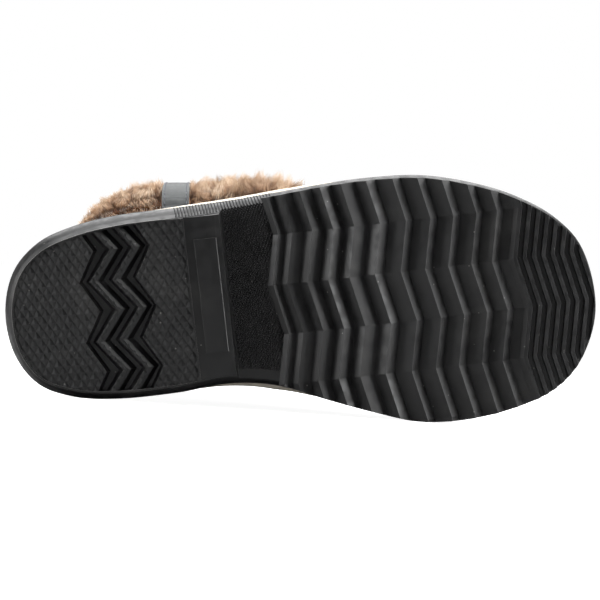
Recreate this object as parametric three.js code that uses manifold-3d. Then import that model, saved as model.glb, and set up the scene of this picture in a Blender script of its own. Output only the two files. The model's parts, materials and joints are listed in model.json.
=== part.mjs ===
// Right snow boot: rubber sole, hollow suede upper, fur cuff and pull strap, lying on its medial side.
// Millimetres. Each piece is shaped on a standing boot, x from heel to toe, y to the medial side and z up,
// and two turned groups then lay the boot down with +Z up.
import * as THREE from 'three';
import { mergeVertices } from 'three/addons/utils/BufferGeometryUtils.js';
import Module from 'manifold-3d';

const wasm = await Module();
wasm.setup();

// Sizes of the sole
const soleLength = 280;
const heelWidth = 87;
const ballWidth = 117;
const outsoleHeight = 20;
const midsoleHeight = 9;
const midsoleLip = 3;
const insoleHeight = 5;
const toeSpring = 12;
const archRise = 4.5;
const edgeFlare = 4;
const sideGroove = 0.8;

// Sizes of the tread
const treadTurn = THREE.MathUtils.degToRad(6.3);
const lugDepth = 4;
const waistRecess = 1.8;
const lugOverhang = 0.8;
const lugSpan = 23.6;
const lugSwing = 5;
const firstLugTurn = -21.9;
const ribPitch = 4.5;
const ribDepth = 1.8;
const channelDepth = 4;
const channelInset = 4.8;
const channelSpan = 14.3;
const firstChannelTurn = -23.8;
const breastRun = 3.2;
const landRecess = 1;
const barRaise = 0.8;
const barWidth = 10.8;
const barLength = 54;

// Sizes of the upper
const upperWall = 3;
const featherInset = 5;
const instepHeight = 95;
const collarHeight = 185;
const shaftWidth = 84;
const shaftSquareness = 3;

// Sizes of the cuff and the strap
const furDepth = 9;
const cuffDepth = 46;
const cuffRise = 11;
const cuffInside = 16;
const liningDepth = 7;
const lockRoot = 5;
const lockReach = 4;
const lockWidth = 10;
const lockLength = 14;
const locksRound = 26;
const strapWidth = 14;
const strapThickness = 1.8;
const strapTail = 9;
const strapPlace = 0.272;
const strapTailShares = [1, 0.78, 0.55];

// Clearance where two pieces meet
const seatGap = 0.3;

// Points round the sole and round the upper
const soleSides = 56;
const upperSides = 44;

// Outline of the outsole from heel to toe, half widths as shares of the half width there,
// and how far the midsole's lip stands out past it on each side, as shares of midsoleLip
const outlineRows = [
  { along: 0.0, medial: 0.0, lateral: 0.0, lipMedial: -0.5, lipLateral: -0.5 },
  { along: 0.015, medial: 0.478, lateral: 0.434, lipMedial: -0.5, lipLateral: -0.5 },
  { along: 0.055, medial: 0.805, lateral: 0.729, lipMedial: -0.5, lipLateral: -0.5 },
  { along: 0.117, medial: 0.947, lateral: 0.913, lipMedial: -0.5, lipLateral: -0.5 },
  { along: 0.19, medial: 0.968, lateral: 1.028, lipMedial: -0.4, lipLateral: -0.3 },
  { along: 0.29, medial: 0.903, lateral: 1.11, lipMedial: 0.0, lipLateral: 0.0 },
  { along: 0.38, medial: 0.761, lateral: 1.117, lipMedial: 0.7, lipLateral: 0.15 },
  { along: 0.46, medial: 0.696, lateral: 1.075, lipMedial: 0.95, lipLateral: 0.2 },
  { along: 0.54, medial: 0.738, lateral: 1.053, lipMedial: 0.1, lipLateral: 0.0 },
  { along: 0.62, medial: 0.821, lateral: 1.075, lipMedial: -0.5, lipLateral: -0.6 },
  { along: 0.7, medial: 0.901, lateral: 1.092, lipMedial: -0.7, lipLateral: -0.7 },
  { along: 0.78, medial: 0.885, lateral: 1.039, lipMedial: -0.7, lipLateral: -0.7 },
  { along: 0.86, medial: 0.797, lateral: 0.926, lipMedial: -0.7, lipLateral: -0.7 },
  { along: 0.93, medial: 0.646, lateral: 0.744, lipMedial: -0.7, lipLateral: -0.7 },
  { along: 0.975, medial: 0.412, lateral: 0.506, lipMedial: -0.7, lipLateral: -0.7 },
  { along: 1.0, medial: 0.0, lateral: 0.0, lipMedial: -0.7, lipLateral: -0.7 },
];
const heelEnd = 0.3;
const ballStart = 0.6;

// Side of the outsole from the tread up: height as a share of its height there, inset in millimetres
const sidewallRows = [
  { up: -0.35, inset: 1.25 * edgeFlare },
  { up: 0, inset: edgeFlare },
  { up: 0.15, inset: 0.62 * edgeFlare },
  { up: 0.36, inset: 0.2 * edgeFlare },
  { up: 0.6, inset: 0 },
  { up: 0.8, inset: 0 },
  { up: 0.83, inset: sideGroove },
  { up: 0.9, inset: sideGroove },
  { up: 0.93, inset: 0 },
  { up: 1, inset: 0.2 },
];

// Side of the midsole from its base up: height as a share of its own, inset in millimetres
const midsoleRows = [
  { up: 0, inset: 0.8 },
  { up: 0.15, inset: 0 },
  { up: 0.8, inset: 0 },
  { up: 1, inset: 1.2 },
];

// Side view of the sole, as shares of its length
const archStart = 0.27;
const archTop = 0.39;
const archFall = 0.42;
const archEnd = 0.56;
const springStart = 0.66;
const foreHeight = 0.72;

// Forefoot lugs from the waist to the toe, the crest before each valley: places as shares of the
// length, and the valley's depth as a share of the lugs' height
const lugRows = [
  { crest: 0.464, valley: 0.476, depth: 0.65 },
  { crest: 0.488, valley: 0.508, depth: 0.9 },
  { crest: 0.522, valley: 0.542, depth: 1 },
  { crest: 0.557, valley: 0.576, depth: 1 },
  { crest: 0.593, valley: 0.617, depth: 1 },
  { crest: 0.636, valley: 0.652, depth: 1 },
  { crest: 0.68, valley: 0.693, depth: 1 },
  { crest: 0.721, valley: 0.734, depth: 1 },
  { crest: 0.76, valley: 0.773, depth: 1 },
  { crest: 0.799, valley: 0.811, depth: 1 },
  { crest: 0.834, valley: 0.846, depth: 1 },
];
const waistEnd = 0.455;
const lugsEnd = 0.8615;

// The valley floor under the lugs runs on past the toe, in steps, as shares of the length
const floorEnd = 1.12;
const floorStep = 0.05;

// One toe rib, flat-topped: place as a share of the pitch, depth as a share of the rib's
const ribRows = [
  { step: 0.05, depth: 0 },
  { step: 0.45, depth: 0 },
  { step: 0.55, depth: 1 },
  { step: 0.95, depth: 1 },
];

// Height range of the blocks that trim lugs and channel to the outline, as shares of the side's height
const trimLevels = [-0.35, 0.5];

// Channel across the heel with its two ridges: place as a share of the length, depth as a share of
// the channel's, and how far its turns swing in millimetres
const channelRows = [
  { along: 0.146, depth: 0, swing: 8.3 },
  { along: 0.151, depth: 1, swing: 8.3 },
  { along: 0.163, depth: 1, swing: 11 },
  { along: 0.175, depth: 0.12, swing: 11 },
  { along: 0.19, depth: 1, swing: 11 },
  { along: 0.201, depth: 1, swing: 11 },
  { along: 0.213, depth: 0.12, swing: 11 },
  { along: 0.228, depth: 1, swing: 11 },
  { along: 0.238, depth: 1, swing: 8.3 },
  { along: 0.243, depth: 0, swing: 8.3 },
];
const landStart = 0.317;
const breastStart = 0.369;
const barPlace = 0.35;
const barMiddle = 3;

// Upper from the feather line to the collar: its back and front as shares of the length, its height
// there in steps of the instep height and then of the shaft above it, its breadth as a share of the
// feather line's, and how far it has turned from the foot's outline to the shaft's oval
const upperRows = [
  { back: 0.025, front: 0.978, backUp: 0.0, frontUp: 0.0, breadth: 1.0, oval: 0.0 },
  { back: 0.014, front: 0.988, backUp: 0.07, frontUp: 0.09, breadth: 1.03, oval: 0.0 },
  { back: 0.01, front: 0.984, backUp: 0.16, frontUp: 0.22, breadth: 1.03, oval: 0.0 },
  { back: 0.01, front: 0.96, backUp: 0.27, frontUp: 0.34, breadth: 0.99, oval: 0.0 },
  { back: 0.012, front: 0.918, backUp: 0.37, frontUp: 0.43, breadth: 0.94, oval: 0.05 },
  { back: 0.015, front: 0.862, backUp: 0.47, frontUp: 0.49, breadth: 0.88, oval: 0.12 },
  { back: 0.019, front: 0.79, backUp: 0.58, frontUp: 0.56, breadth: 0.83, oval: 0.22 },
  { back: 0.024, front: 0.715, backUp: 0.69, frontUp: 0.66, breadth: 0.8, oval: 0.36 },
  { back: 0.03, front: 0.64, backUp: 0.81, frontUp: 0.79, breadth: 0.8, oval: 0.55 },
  { back: 0.038, front: 0.592, backUp: 0.95, frontUp: 0.95, breadth: 0.82, oval: 0.75 },
  { back: 0.048, front: 0.57, backUp: 1.12, frontUp: 1.14, breadth: 0.86, oval: 0.9 },
  { back: 0.07, front: 0.561, backUp: 1.38, frontUp: 1.38, breadth: 0.9, oval: 1.0 },
  { back: 0.098, front: 0.57, backUp: 2.0, frontUp: 2.0, breadth: 0.9, oval: 1.0 },
];

// Once round the cuff's section: distance out from the upper's outer face, and drop below the collar
const cuffRows = [
  { out: seatGap, drop: cuffDepth },
  { out: 0.55 * furDepth, drop: 1.04 * cuffDepth },
  { out: 0.95 * furDepth, drop: 0.86 * cuffDepth },
  { out: furDepth, drop: 0.5 * cuffDepth },
  { out: 0.9 * furDepth, drop: 0.1 * cuffDepth },
  { out: 0.5 * furDepth, drop: -0.8 * cuffRise },
  { out: -0.5 * upperWall, drop: -cuffRise },
  { out: -upperWall - 0.6 * liningDepth, drop: -0.7 * cuffRise },
  { out: -upperWall - liningDepth, drop: 0.3 * cuffInside },
  { out: -upperWall - 0.7 * liningDepth, drop: cuffInside },
  { out: -upperWall - seatGap, drop: 0.95 * cuffInside },
  { out: -upperWall - seatGap, drop: -seatGap },
  { out: seatGap, drop: -seatGap },
];

// Rows of fur locks round the cuff: drop as a share of the cuff's depth, and size beside the middle row
const lockRows = [
  { drop: 0.02, size: 0.85 },
  { drop: 0.34, size: 1.0 },
  { drop: 0.68, size: 1.0 },
];

// Middle line of the strap over the cuff: distance out as a share of the fur, drop as a share of the cuff
const strapRows = [
  { out: 0.4, drop: 1.06 },
  { out: 0.82, drop: 0.86 },
  { out: 0.92, drop: 0.5 },
  { out: 0.86, drop: 0.12 },
  { out: 0.5, drop: -0.2 },
  { out: -0.15, drop: -0.26 },
  { out: -0.8, drop: -0.16 },
  { out: -1.05, drop: 0.06 },
  { out: -1.08, drop: 0.24 },
];

const { lerp, smoothstep } = THREE.MathUtils;

// Value of a column at a place along the sole
function readRows(rows, along, column) {
  const next = Math.max(1, rows.findIndex((row) => row.along >= along));
  const [from, to] = [rows[next - 1], rows[next]];
  return lerp(from[column], to[column], (along - from.along) / (to.along - from.along));
}

// Coordinates along and across the tread, whose rows stand at an angle to the sole
function toTread(x, y) {
  return {
    u: x * Math.cos(treadTurn) - y * Math.sin(treadTurn),
    v: x * Math.sin(treadTurn) + y * Math.cos(treadTurn),
  };
}

function fromTread(u, v) {
  return {
    x: u * Math.cos(treadTurn) + v * Math.sin(treadTurn),
    y: v * Math.cos(treadTurn) - u * Math.sin(treadTurn),
  };
}

// Height of the tread above the ground, from the arch and the toe spring
function treadRise(x, y) {
  const along = toTread(x, y).u / soleLength;
  const arch = smoothstep(along, archStart, archTop) * (1 - smoothstep(along, archFall, archEnd));
  const spring = Math.max(0, (along - springStart) / (1 - springStart));
  return archRise * arch + toeSpring * spring * spring;
}

// Height of the outsole's side, and of the feather line where the upper meets the midsole
function sideHeight(x) {
  return outsoleHeight * lerp(1, foreHeight, smoothstep(x / soleLength, heelEnd, ballStart));
}

function featherHeight(x, y) {
  return treadRise(x, y) + sideHeight(x) + midsoleHeight + 2 * seatGap;
}

// Outline of the sole as evenly spaced points with their outward normals
function soleOutline(count) {
  const halfWidth = (along) => lerp(heelWidth, ballWidth, smoothstep(along, heelEnd, ballStart)) / 2;
  const point = (row, side, share) =>
    new THREE.Vector3(soleLength * row.along, side * share * halfWidth(row.along), 0);
  const medial = outlineRows.map((row) => point(row, 1, row.medial));
  const lateral = outlineRows.slice(1, -1).reverse().map((row) => point(row, -1, row.lateral));
  const curve = new THREE.CatmullRomCurve3([...medial, ...lateral], true, 'centripetal');
  const points = curve.getSpacedPoints(count).slice(0, count);
  return points.map((p, i) => {
    const before = points[(i + count - 1) % count];
    const after = points[(i + 1) % count];
    const tangent = after.clone().sub(before).normalize();
    const side = i < count / 2 ? 1 : -1;
    const along = THREE.MathUtils.clamp(p.x / soleLength, 0, 1);
    return { x: p.x, y: p.y, nx: -tangent.y, ny: tangent.x, side, along };
  });
}

// Outline moved inwards, with a height for each of its points
function outlineRing(outline, inset, height) {
  return outline.map((p) => {
    const depth = typeof inset === 'function' ? inset(p) : inset;
    const x = p.x - depth * p.nx;
    const y = p.y - depth * p.ny;
    return new THREE.Vector3(x, y, height(x, y));
  });
}

// Triangles that close a ring across its width, from the heel's point to the toe's
function ladderCap(count) {
  const triangles = [];
  for (let i = 0; i < count / 2; i += 1) {
    const across = (count - i) % count;
    if (i > 0) triangles.push([i, i + 1, across]);
    if (i + 1 < count / 2) triangles.push([across, i + 1, count - i - 1]);
  }
  return triangles;
}

// Triangles that close a ring made of a row of points and the same number back above it
function stripCap(length) {
  const triangles = [];
  for (let i = 0; i + 1 < length; i += 1) {
    const above = 2 * length - 1 - i;
    triangles.push([i, i + 1, above - 1], [i, above - 1, above]);
  }
  return triangles;
}

// Closed solid through rings of the same number of points, ended by caps or joined back to its start
function loft(rings, cap) {
  const count = rings[0].length;
  const vertices = rings.flat().flatMap((p) => [p.x, p.y, p.z]);
  const triangles = [];
  const bands = cap ? rings.length - 1 : rings.length;
  for (let r = 0; r < bands; r += 1) {
    const low = r * count;
    const high = ((r + 1) % rings.length) * count;
    for (let i = 0; i < count; i += 1) {
      const next = (i + 1) % count;
      triangles.push([low + i, low + next, high + next], [low + i, high + next, high + i]);
    }
  }
  if (cap) {
    const last = (rings.length - 1) * count;
    cap.forEach(([a, b, c]) => triangles.push([a, c, b], [last + a, last + b, last + c]));
  }
  return solidFrom(vertices, triangles);
}

// Solid from shared vertices and triangles, turned the right way out
function solidFrom(vertices, triangles) {
  const corner = (i) => new THREE.Vector3(...vertices.slice(3 * i, 3 * i + 3));
  const volume = triangles.reduce((sum, [a, b, c]) => {
    return sum + corner(a).dot(corner(b).cross(corner(c)));
  }, 0);
  const facing = volume > 0 ? triangles : triangles.map(([a, b, c]) => [a, c, b]);
  return new wasm.Manifold(new wasm.Mesh({
    numProp: 3,
    vertProperties: new Float32Array(vertices),
    triVerts: new Uint32Array(facing.flat()),
  }));
}

function solidFromGeometry(geometry) {
  geometry.deleteAttribute('normal');
  geometry.deleteAttribute('uv');
  const merged = mergeVertices(geometry, 0.001);
  const index = Array.from(merged.index.array);
  const triangles = [];
  for (let i = 0; i < index.length; i += 3) triangles.push(index.slice(i, i + 3));
  return solidFrom(Array.from(merged.attributes.position.array), triangles);
}

function geometryFrom(solid) {
  const mesh = solid.getMesh();
  const geometry = new THREE.BufferGeometry();
  geometry.setAttribute('position', new THREE.BufferAttribute(mesh.vertProperties, 3));
  geometry.setIndex(new THREE.BufferAttribute(mesh.triVerts, 1));
  geometry.computeVertexNormals();
  return geometry;
}

// Offset of a zigzag row where it crosses the line v, full swing at each turn
function zigzag(v, wave) {
  const steps = (v - wave.first) / wave.span;
  const turn = Math.floor(steps);
  const direction = turn % 2 === 0 ? 1 : -1;
  return direction * (0.5 - (steps - turn));
}

// Block across the tread whose lower side has the given rows, each swung along the zigzag
function zigzagBlock(rows, wave, thickness) {
  const reach = ballWidth;
  const firstTurn = wave.first + wave.span * Math.ceil((-reach - wave.first) / wave.span);
  const stations = [];
  for (let v = firstTurn; v <= reach; v += wave.span) stations.push(v);
  const rings = stations.map((v) => {
    const low = rows.map((row) => {
      const place = fromTread(row.u + row.swing * zigzag(v, wave), v);
      return new THREE.Vector3(place.x, place.y, treadRise(place.x, place.y) + row.lift);
    });
    const high = low.map((p) => new THREE.Vector3(p.x, p.y, treadRise(p.x, p.y) + thickness));
    return [...low, ...high.reverse()];
  });
  return loft(rings, stripCap(rows.length));
}

// Solid across the whole sole from its side view, given as points u along the tread and z up
function acrossTread(points, from, to) {
  const shape = new THREE.Shape(points.map(([u, z]) => new THREE.Vector2(u, z)));
  const geometry = new THREE.ExtrudeGeometry(shape, { depth: to - from, bevelEnabled: false });
  geometry.rotateX(Math.PI / 2);
  geometry.translate(0, to, 0);
  geometry.rotateZ(-treadTurn);
  return solidFromGeometry(geometry);
}

// Rubber outsole: sidewalls, heel, waist and valley floor first, then lugs, channel and bar
function outsoleGeometry() {
  const outline = soleOutline(soleSides);
  const levels = sidewallRows.map((row) =>
    outlineRing(outline, row.inset, (x, y) => treadRise(x, y) + row.up * sideHeight(x)));
  const riseAt = (u) => treadRise(u * Math.cos(treadTurn), -u * Math.sin(treadTurn));
  const breastEnd = breastStart * soleLength + breastRun;
  const underside = [
    [-heelWidth, 0],
    [landStart * soleLength, 0],
    [landStart * soleLength, landRecess],
    [breastStart * soleLength, landRecess],
    [breastEnd, riseAt(breastEnd) + waistRecess],
    [archFall * soleLength, riseAt(archFall * soleLength) + waistRecess],
    [waistEnd * soleLength, riseAt(waistEnd * soleLength) + waistRecess],
  ];
  for (let share = lugRows[0].valley; share < floorEnd; share += floorStep) {
    underside.push([share * soleLength, riseAt(share * soleLength) + lugDepth]);
  }
  const above = toeSpring + 2 * outsoleHeight;
  const profile = [...underside, [underside.at(-1)[0], above], [-heelWidth, above]];
  const base = loft(levels, ladderCap(soleSides)).intersect(acrossTread(profile, -ballWidth, ballWidth));

  const lugs = [{ u: waistEnd * soleLength, lift: waistRecess, swing: lugSwing }];
  lugRows.forEach(({ crest, valley, depth }) => {
    lugs.push({ u: crest * soleLength, lift: 0, swing: lugSwing });
    lugs.push({ u: valley * soleLength, lift: depth * lugDepth, swing: lugSwing });
  });
  lugs.push({ u: lugsEnd * soleLength, lift: ribDepth, swing: lugSwing });
  for (let u = lugsEnd * soleLength + ribPitch / 2; u < soleLength + ribPitch; u += ribPitch) {
    ribRows.forEach(({ step, depth }) => {
      lugs.push({ u: u + step * ribPitch, lift: depth * ribDepth, swing: lugSwing });
    });
  }
  const foreWave = { first: firstLugTurn, span: lugSpan };
  const lugEnds = trimLevels.map((up) =>
    outlineRing(outline, lugOverhang, (x, y) => treadRise(x, y) + up * sideHeight(x)));
  const treadBlock = zigzagBlock(lugs, foreWave, lugDepth + ribDepth)
    .intersect(loft(lugEnds, ladderCap(soleSides)));

  const channel = channelRows.map(({ along, depth, swing }) =>
    ({ u: along * soleLength, lift: depth * channelDepth, swing }));
  const heelWave = { first: firstChannelTurn, span: channelSpan };
  const channelEnds = trimLevels.map((up) =>
    outlineRing(outline, channelInset, (x, y) => treadRise(x, y) + up * sideHeight(x)));
  const channelBlock = zigzagBlock(channel, heelWave, -lugDepth)
    .intersect(loft(channelEnds, ladderCap(soleSides)));

  const barLow = barPlace * soleLength - barWidth / 2;
  const barHigh = barLow + barWidth;
  const barTop = landRecess - barRaise;
  const bar = acrossTread(
    [[barLow, barTop], [barHigh, barTop], [barHigh, lugDepth + archRise], [barLow, lugDepth + archRise]],
    barMiddle - barLength / 2,
    barMiddle + barLength / 2,
  );
  return geometryFrom(base.subtract(channelBlock).add(treadBlock).add(bar));
}

// Cream midsole, wider than the outsole at the waist, as one ring for each level of its side
function midsoleRings(rows) {
  const outline = soleOutline(soleSides);
  const lip = (p) => -midsoleLip * readRows(outlineRows, p.along, p.side > 0 ? 'lipMedial' : 'lipLateral');
  return rows.map((row) => outlineRing(outline, (p) => lip(p) + row.inset, (x, y) =>
    treadRise(x, y) + sideHeight(x) + seatGap + row.up * midsoleHeight + (row.gap ?? 0)));
}

function midsoleGeometry() {
  return geometryFrom(loft(midsoleRings(midsoleRows), ladderCap(soleSides)));
}

// The part of a solid that lies above the midsole, seated on it with the usual clearance
function seatedOnMidsole(solid) {
  const below = midsoleRings([{ up: 0.2, inset: 0 }, { ...midsoleRows.at(-1), gap: seatGap }]);
  return solid.subtract(loft(below, ladderCap(soleSides)));
}

// Points of the upper's outer face, one ring for each row of its table
function upperRings() {
  const outline = outlineRing(soleOutline(upperSides), featherInset, () => 0);
  const heel = Math.min(...outline.map((p) => p.x));
  const length = Math.max(...outline.map((p) => p.x)) - heel;
  const seat = featherHeight(0, 0);
  const climb = (step) =>
    Math.min(step, 1) * instepHeight + Math.max(step - 1, 0) * (collarHeight - instepHeight);
  return upperRows.map((row) => outline.map((p, i) => {
    const share = (p.x - heel) / length;
    const side = i < upperSides / 2 ? 1 : -1;
    const x = soleLength * lerp(row.back, row.front, share);
    const bow = Math.max(0, 1 - Math.abs(2 * share - 1) ** shaftSquareness) ** (1 / shaftSquareness);
    const y = lerp(row.breadth * p.y, side * bow * shaftWidth / 2, row.oval);
    const step = lerp(row.backUp, row.frontUp, share);
    const level = smoothstep(step, 0, 1);
    return new THREE.Vector3(x, y, lerp(featherHeight(x, y), seat, level) + climb(step));
  }));
}

// Outward direction at a point of a ring, level or square to the face
function faceNormal(rings, r, i, level) {
  const count = rings[r].length;
  const around = rings[r][(i + 1) % count].clone().sub(rings[r][(i + count - 1) % count]);
  const upward = rings[Math.min(r + 1, rings.length - 1)][i].clone().sub(rings[Math.max(r - 1, 0)][i]);
  if (level) {
    around.z = 0;
    upward.set(0, 0, 1);
  }
  return upward.cross(around).normalize();
}

// Hollow upper, open at the collar and underneath
function upperGeometry() {
  const outer = upperRings();
  const inner = outer.map((ring, r) => ring.map((p, i) => {
    const level = r === 0 || r === outer.length - 1;
    return p.clone().addScaledVector(faceNormal(outer, r, i, level), -upperWall);
  }));
  [outer[0], inner[0]].flat().forEach((p) => { p.z -= midsoleHeight / 3; });
  return geometryFrom(seatedOnMidsole(loft([...outer, ...inner.reverse()])));
}

// Insole with the shape of the upper's inside at the feather line
function insoleGeometry() {
  const rings = upperRings();
  const inset = upperWall + seatGap;
  const edge = rings[0].map((p, i) => p.clone().addScaledVector(faceNormal(rings, 0, i, true), -inset));
  const levels = [-0.5, 1].map((up) => edge.map((p) =>
    new THREE.Vector3(p.x, p.y, featherHeight(p.x, p.y) + up * insoleHeight)));
  return geometryFrom(seatedOnMidsole(loft(levels, ladderCap(upperSides))));
}

// Point beside the collar, out from the upper's outer face and down along the shaft
function collarPoint(rings, i, out, drop) {
  const top = rings.at(-1)[i];
  const below = rings.at(-2)[i];
  const share = Math.max(0, drop) / (top.z - below.z);
  const point = top.clone().lerp(below, share);
  point.z = top.z - drop;
  return point.addScaledVector(faceNormal(rings, rings.length - 1, i, true), out);
}

// Middle line of the strap in y and z, from its tail on the shaft up over the cuff
function strapLine() {
  const collar = featherHeight(0, 0) + collarHeight;
  const face = -shaftWidth / 2;
  const seat = 1.5 * seatGap + strapThickness / 2;
  const tail = strapTailShares.map((share) =>
    new THREE.Vector2(face - seat, collar - cuffDepth - share * strapTail));
  const over = strapRows.map(({ out, drop }) =>
    new THREE.Vector2(face - out * furDepth - Math.sign(out) * seat / 2, collar - drop * cuffDepth));
  return new THREE.SplineCurve([...tail, ...over]).getPoints(2 * (over.length + 2));
}

// Strip across the shaft's lateral side: its section reaches to both sides of the line
function strapSolid(line, inwards, outwards, width) {
  const side = (distance) => line.map((p, i) => {
    const before = line[Math.max(i - 1, 0)];
    const after = line[Math.min(i + 1, line.length - 1)];
    const tangent = after.clone().sub(before).normalize();
    return new THREE.Vector2(p.x - distance * tangent.y, p.y + distance * tangent.x);
  });
  const shape = new THREE.Shape([...side(-inwards), ...side(outwards).reverse()]);
  const geometry = new THREE.ExtrudeGeometry(shape, { depth: width, bevelEnabled: false });
  geometry.rotateY(Math.PI / 2);
  geometry.rotateX(Math.PI / 2);
  geometry.translate(strapPlace * soleLength - width / 2, 0, 0);
  return solidFromGeometry(geometry);
}

// Fur cuff hooked over the collar, with its locks, and a groove where the strap presses it down
function cuffGeometry() {
  const rings = upperRings();
  const sections = cuffRows.map(({ out, drop }) =>
    rings[0].map((unused, i) => collarPoint(rings, i, out, drop)));
  let cuff = loft(sections);
  lockRows.forEach(({ drop, size }, row) => {
    for (let k = 0; k < locksRound; k += 1) {
      const place = ((k + 0.5 * (row % 2)) / locksRound) * upperSides;
      const i = Math.floor(place);
      const next = (i + 1) % upperSides;
      const root = collarPoint(rings, i, lockRoot, drop * cuffDepth)
        .lerp(collarPoint(rings, next, lockRoot, drop * cuffDepth), place - i);
      const outward = faceNormal(rings, rings.length - 1, i, true);
      const sway = Math.sin(7 * k + 3 * row);
      const along = new THREE.Vector3(-outward.y, outward.x, 0).multiplyScalar(0.35 * sway);
      const reach = (lockReach + 0.45 * furDepth) * size;
      const tip = outward.multiplyScalar(reach).add(along.multiplyScalar(lockLength / 2));
      tip.z = -0.6 * lockLength * size;
      const length = tip.length();
      const lock = new THREE.ConeGeometry(lockWidth * size * (0.62 + 0.08 * sway), length, 5);
      lock.translate(0, length / 2, 0);
      lock.applyQuaternion(new THREE.Quaternion().setFromUnitVectors(
        new THREE.Vector3(0, 1, 0), tip.normalize()));
      lock.translate(root.x, root.y, root.z);
      cuff = cuff.add(solidFromGeometry(lock));
    }
  });
  const overCuff = strapLine().slice(2 * strapTailShares.length - 1);
  const end = overCuff.at(-1);
  const pastEnd = end.clone().sub(overCuff.at(-2)).setLength(2 * seatGap).add(end);
  const groove = strapSolid(
    [...overCuff, pastEnd], strapThickness / 2 + seatGap, 3 * furDepth, strapWidth + 2 * seatGap);
  return geometryFrom(cuff.subtract(groove).subtract(collarSlot(rings)));
}

// Room that the collar and shaft keep inside the cuff
function collarSlot(rings) {
  const slot = [
    { out: seatGap, drop: cuffDepth + furDepth },
    { out: seatGap, drop: -seatGap },
    { out: -upperWall - seatGap, drop: -seatGap },
    { out: -upperWall - seatGap, drop: cuffDepth + furDepth },
  ];
  return loft(slot.map(({ out, drop }) => rings[0].map((unused, i) => collarPoint(rings, i, out, drop))));
}

function strapGeometry() {
  const half = strapThickness / 2;
  return geometryFrom(strapSolid(strapLine(), half, half, strapWidth));
}

// Pieces with their materials
function piece(name, geometry, color, roughness) {
  const mesh = new THREE.Mesh(geometry, new THREE.MeshStandardMaterial({ color, roughness, metalness: 0 }));
  mesh.name = name;
  return mesh;
}

const pieces = [
  piece('outsole', outsoleGeometry(), 0x1c1c1d, 0.5),
  piece('midsole', midsoleGeometry(), 0xe8e0d2, 0.6),
  piece('upper', upperGeometry(), 0x6d6f70, 0.9),
  piece('insole', insoleGeometry(), 0xb59a7c, 0.95),
  piece('fur_cuff', cuffGeometry(), 0xb8906a, 1.0),
  piece('pull_strap', strapGeometry(), 0x878b89, 0.8),
];

// Lowest point of some vertices once the boot is turned by roll about x and then by pitch about y
function lowestPoint(points, roll, pitch) {
  let lowest = new THREE.Vector3(0, 0, Infinity);
  points.forEach((p) => {
    const turned = p.clone().applyAxisAngle(new THREE.Vector3(1, 0, 0), roll);
    turned.applyAxisAngle(new THREE.Vector3(0, 1, 0), pitch);
    if (turned.z < lowest.z) lowest = turned;
  });
  return lowest;
}

// Roll and pitch that put the heel's edge, the ball's edge and the cuff on one level
function layingAngles() {
  const verticesOf = (mesh) => {
    const position = mesh.geometry.attributes.position;
    return Array.from({ length: position.count }, (unused, i) =>
      new THREE.Vector3().fromBufferAttribute(position, i));
  };
  const [outsole, midsole, , , furCuff] = pieces;
  const sole = [...verticesOf(outsole), ...verticesOf(midsole)];
  const heel = sole.filter((p) => p.x < 0.4 * soleLength);
  const ball = sole.filter((p) => p.x > 0.5 * soleLength);
  const cuff = verticesOf(furCuff);
  let roll = -Math.PI / 2;
  let pitch = 0;
  for (let round = 0; round < 12; round += 1) {
    const heelLow = lowestPoint(heel, roll, pitch);
    const ballLow = lowestPoint(ball, roll, pitch);
    pitch += (ballLow.z - heelLow.z) / (ballLow.x - heelLow.x);
    const soleLow = lowestPoint(sole, roll, pitch);
    const cuffLow = lowestPoint(cuff, roll, pitch);
    roll += (soleLow.z - cuffLow.z) / (cuffLow.y - soleLow.y);
  }
  return { roll, pitch };
}

// The boot lies on its side, centred over the origin and resting on z = 0
const { roll, pitch } = layingAngles();
const rolled = new THREE.Group();
rolled.rotation.x = roll;
rolled.add(...pieces);
const boot = new THREE.Group();
boot.rotation.y = pitch;
boot.add(rolled);
boot.updateMatrixWorld(true);
const box = new THREE.Box3().setFromObject(boot, true);
boot.position.set(-(box.min.x + box.max.x) / 2, -(box.min.y + box.max.y) / 2, -box.min.z);
boot.updateMatrixWorld(true);

export default boot;
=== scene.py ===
import json
import math
import bmesh
import bpy
import numpy as np
from mathutils import Matrix, Vector
from mathutils.kdtree import KDTree


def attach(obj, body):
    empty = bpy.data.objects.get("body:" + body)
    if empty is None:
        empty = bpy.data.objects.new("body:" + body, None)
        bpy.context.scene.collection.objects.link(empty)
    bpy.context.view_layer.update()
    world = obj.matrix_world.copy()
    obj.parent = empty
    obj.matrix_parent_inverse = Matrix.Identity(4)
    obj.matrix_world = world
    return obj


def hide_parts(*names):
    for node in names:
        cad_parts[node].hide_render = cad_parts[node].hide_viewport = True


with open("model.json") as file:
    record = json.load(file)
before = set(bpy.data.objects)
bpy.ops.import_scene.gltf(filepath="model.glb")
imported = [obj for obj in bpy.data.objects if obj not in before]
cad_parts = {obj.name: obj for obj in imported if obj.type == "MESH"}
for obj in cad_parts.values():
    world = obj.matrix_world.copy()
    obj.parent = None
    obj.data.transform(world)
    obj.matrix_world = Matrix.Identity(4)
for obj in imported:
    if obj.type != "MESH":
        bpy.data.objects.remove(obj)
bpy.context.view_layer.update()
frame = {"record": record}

millimetre = 0.001

# The boot standing on its tread, in millimetres: x from heel to toe, y to the medial side, z up
solePlan = {
    "length": 280.0,
    "heelWidth": 87.0,
    "ballWidth": 117.0,
    "outsoleHeight": 20.0,
    "midsoleHeight": 9.0,
    "midsoleLip": 3.0,
    "toeSpring": 12.0,
    "springSpan": (0.66, 0.34),
    "archRise": 4.5,
    "archStart": (0.27, 0.39),
    "archEnd": (0.42, 0.56),
    "foreHeight": 0.72,
    "foreSpan": (0.3, 0.6),
    "seatGap": 0.3,
    "treadTurn": math.radians(6.3),
    "sides": 220,
}

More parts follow.
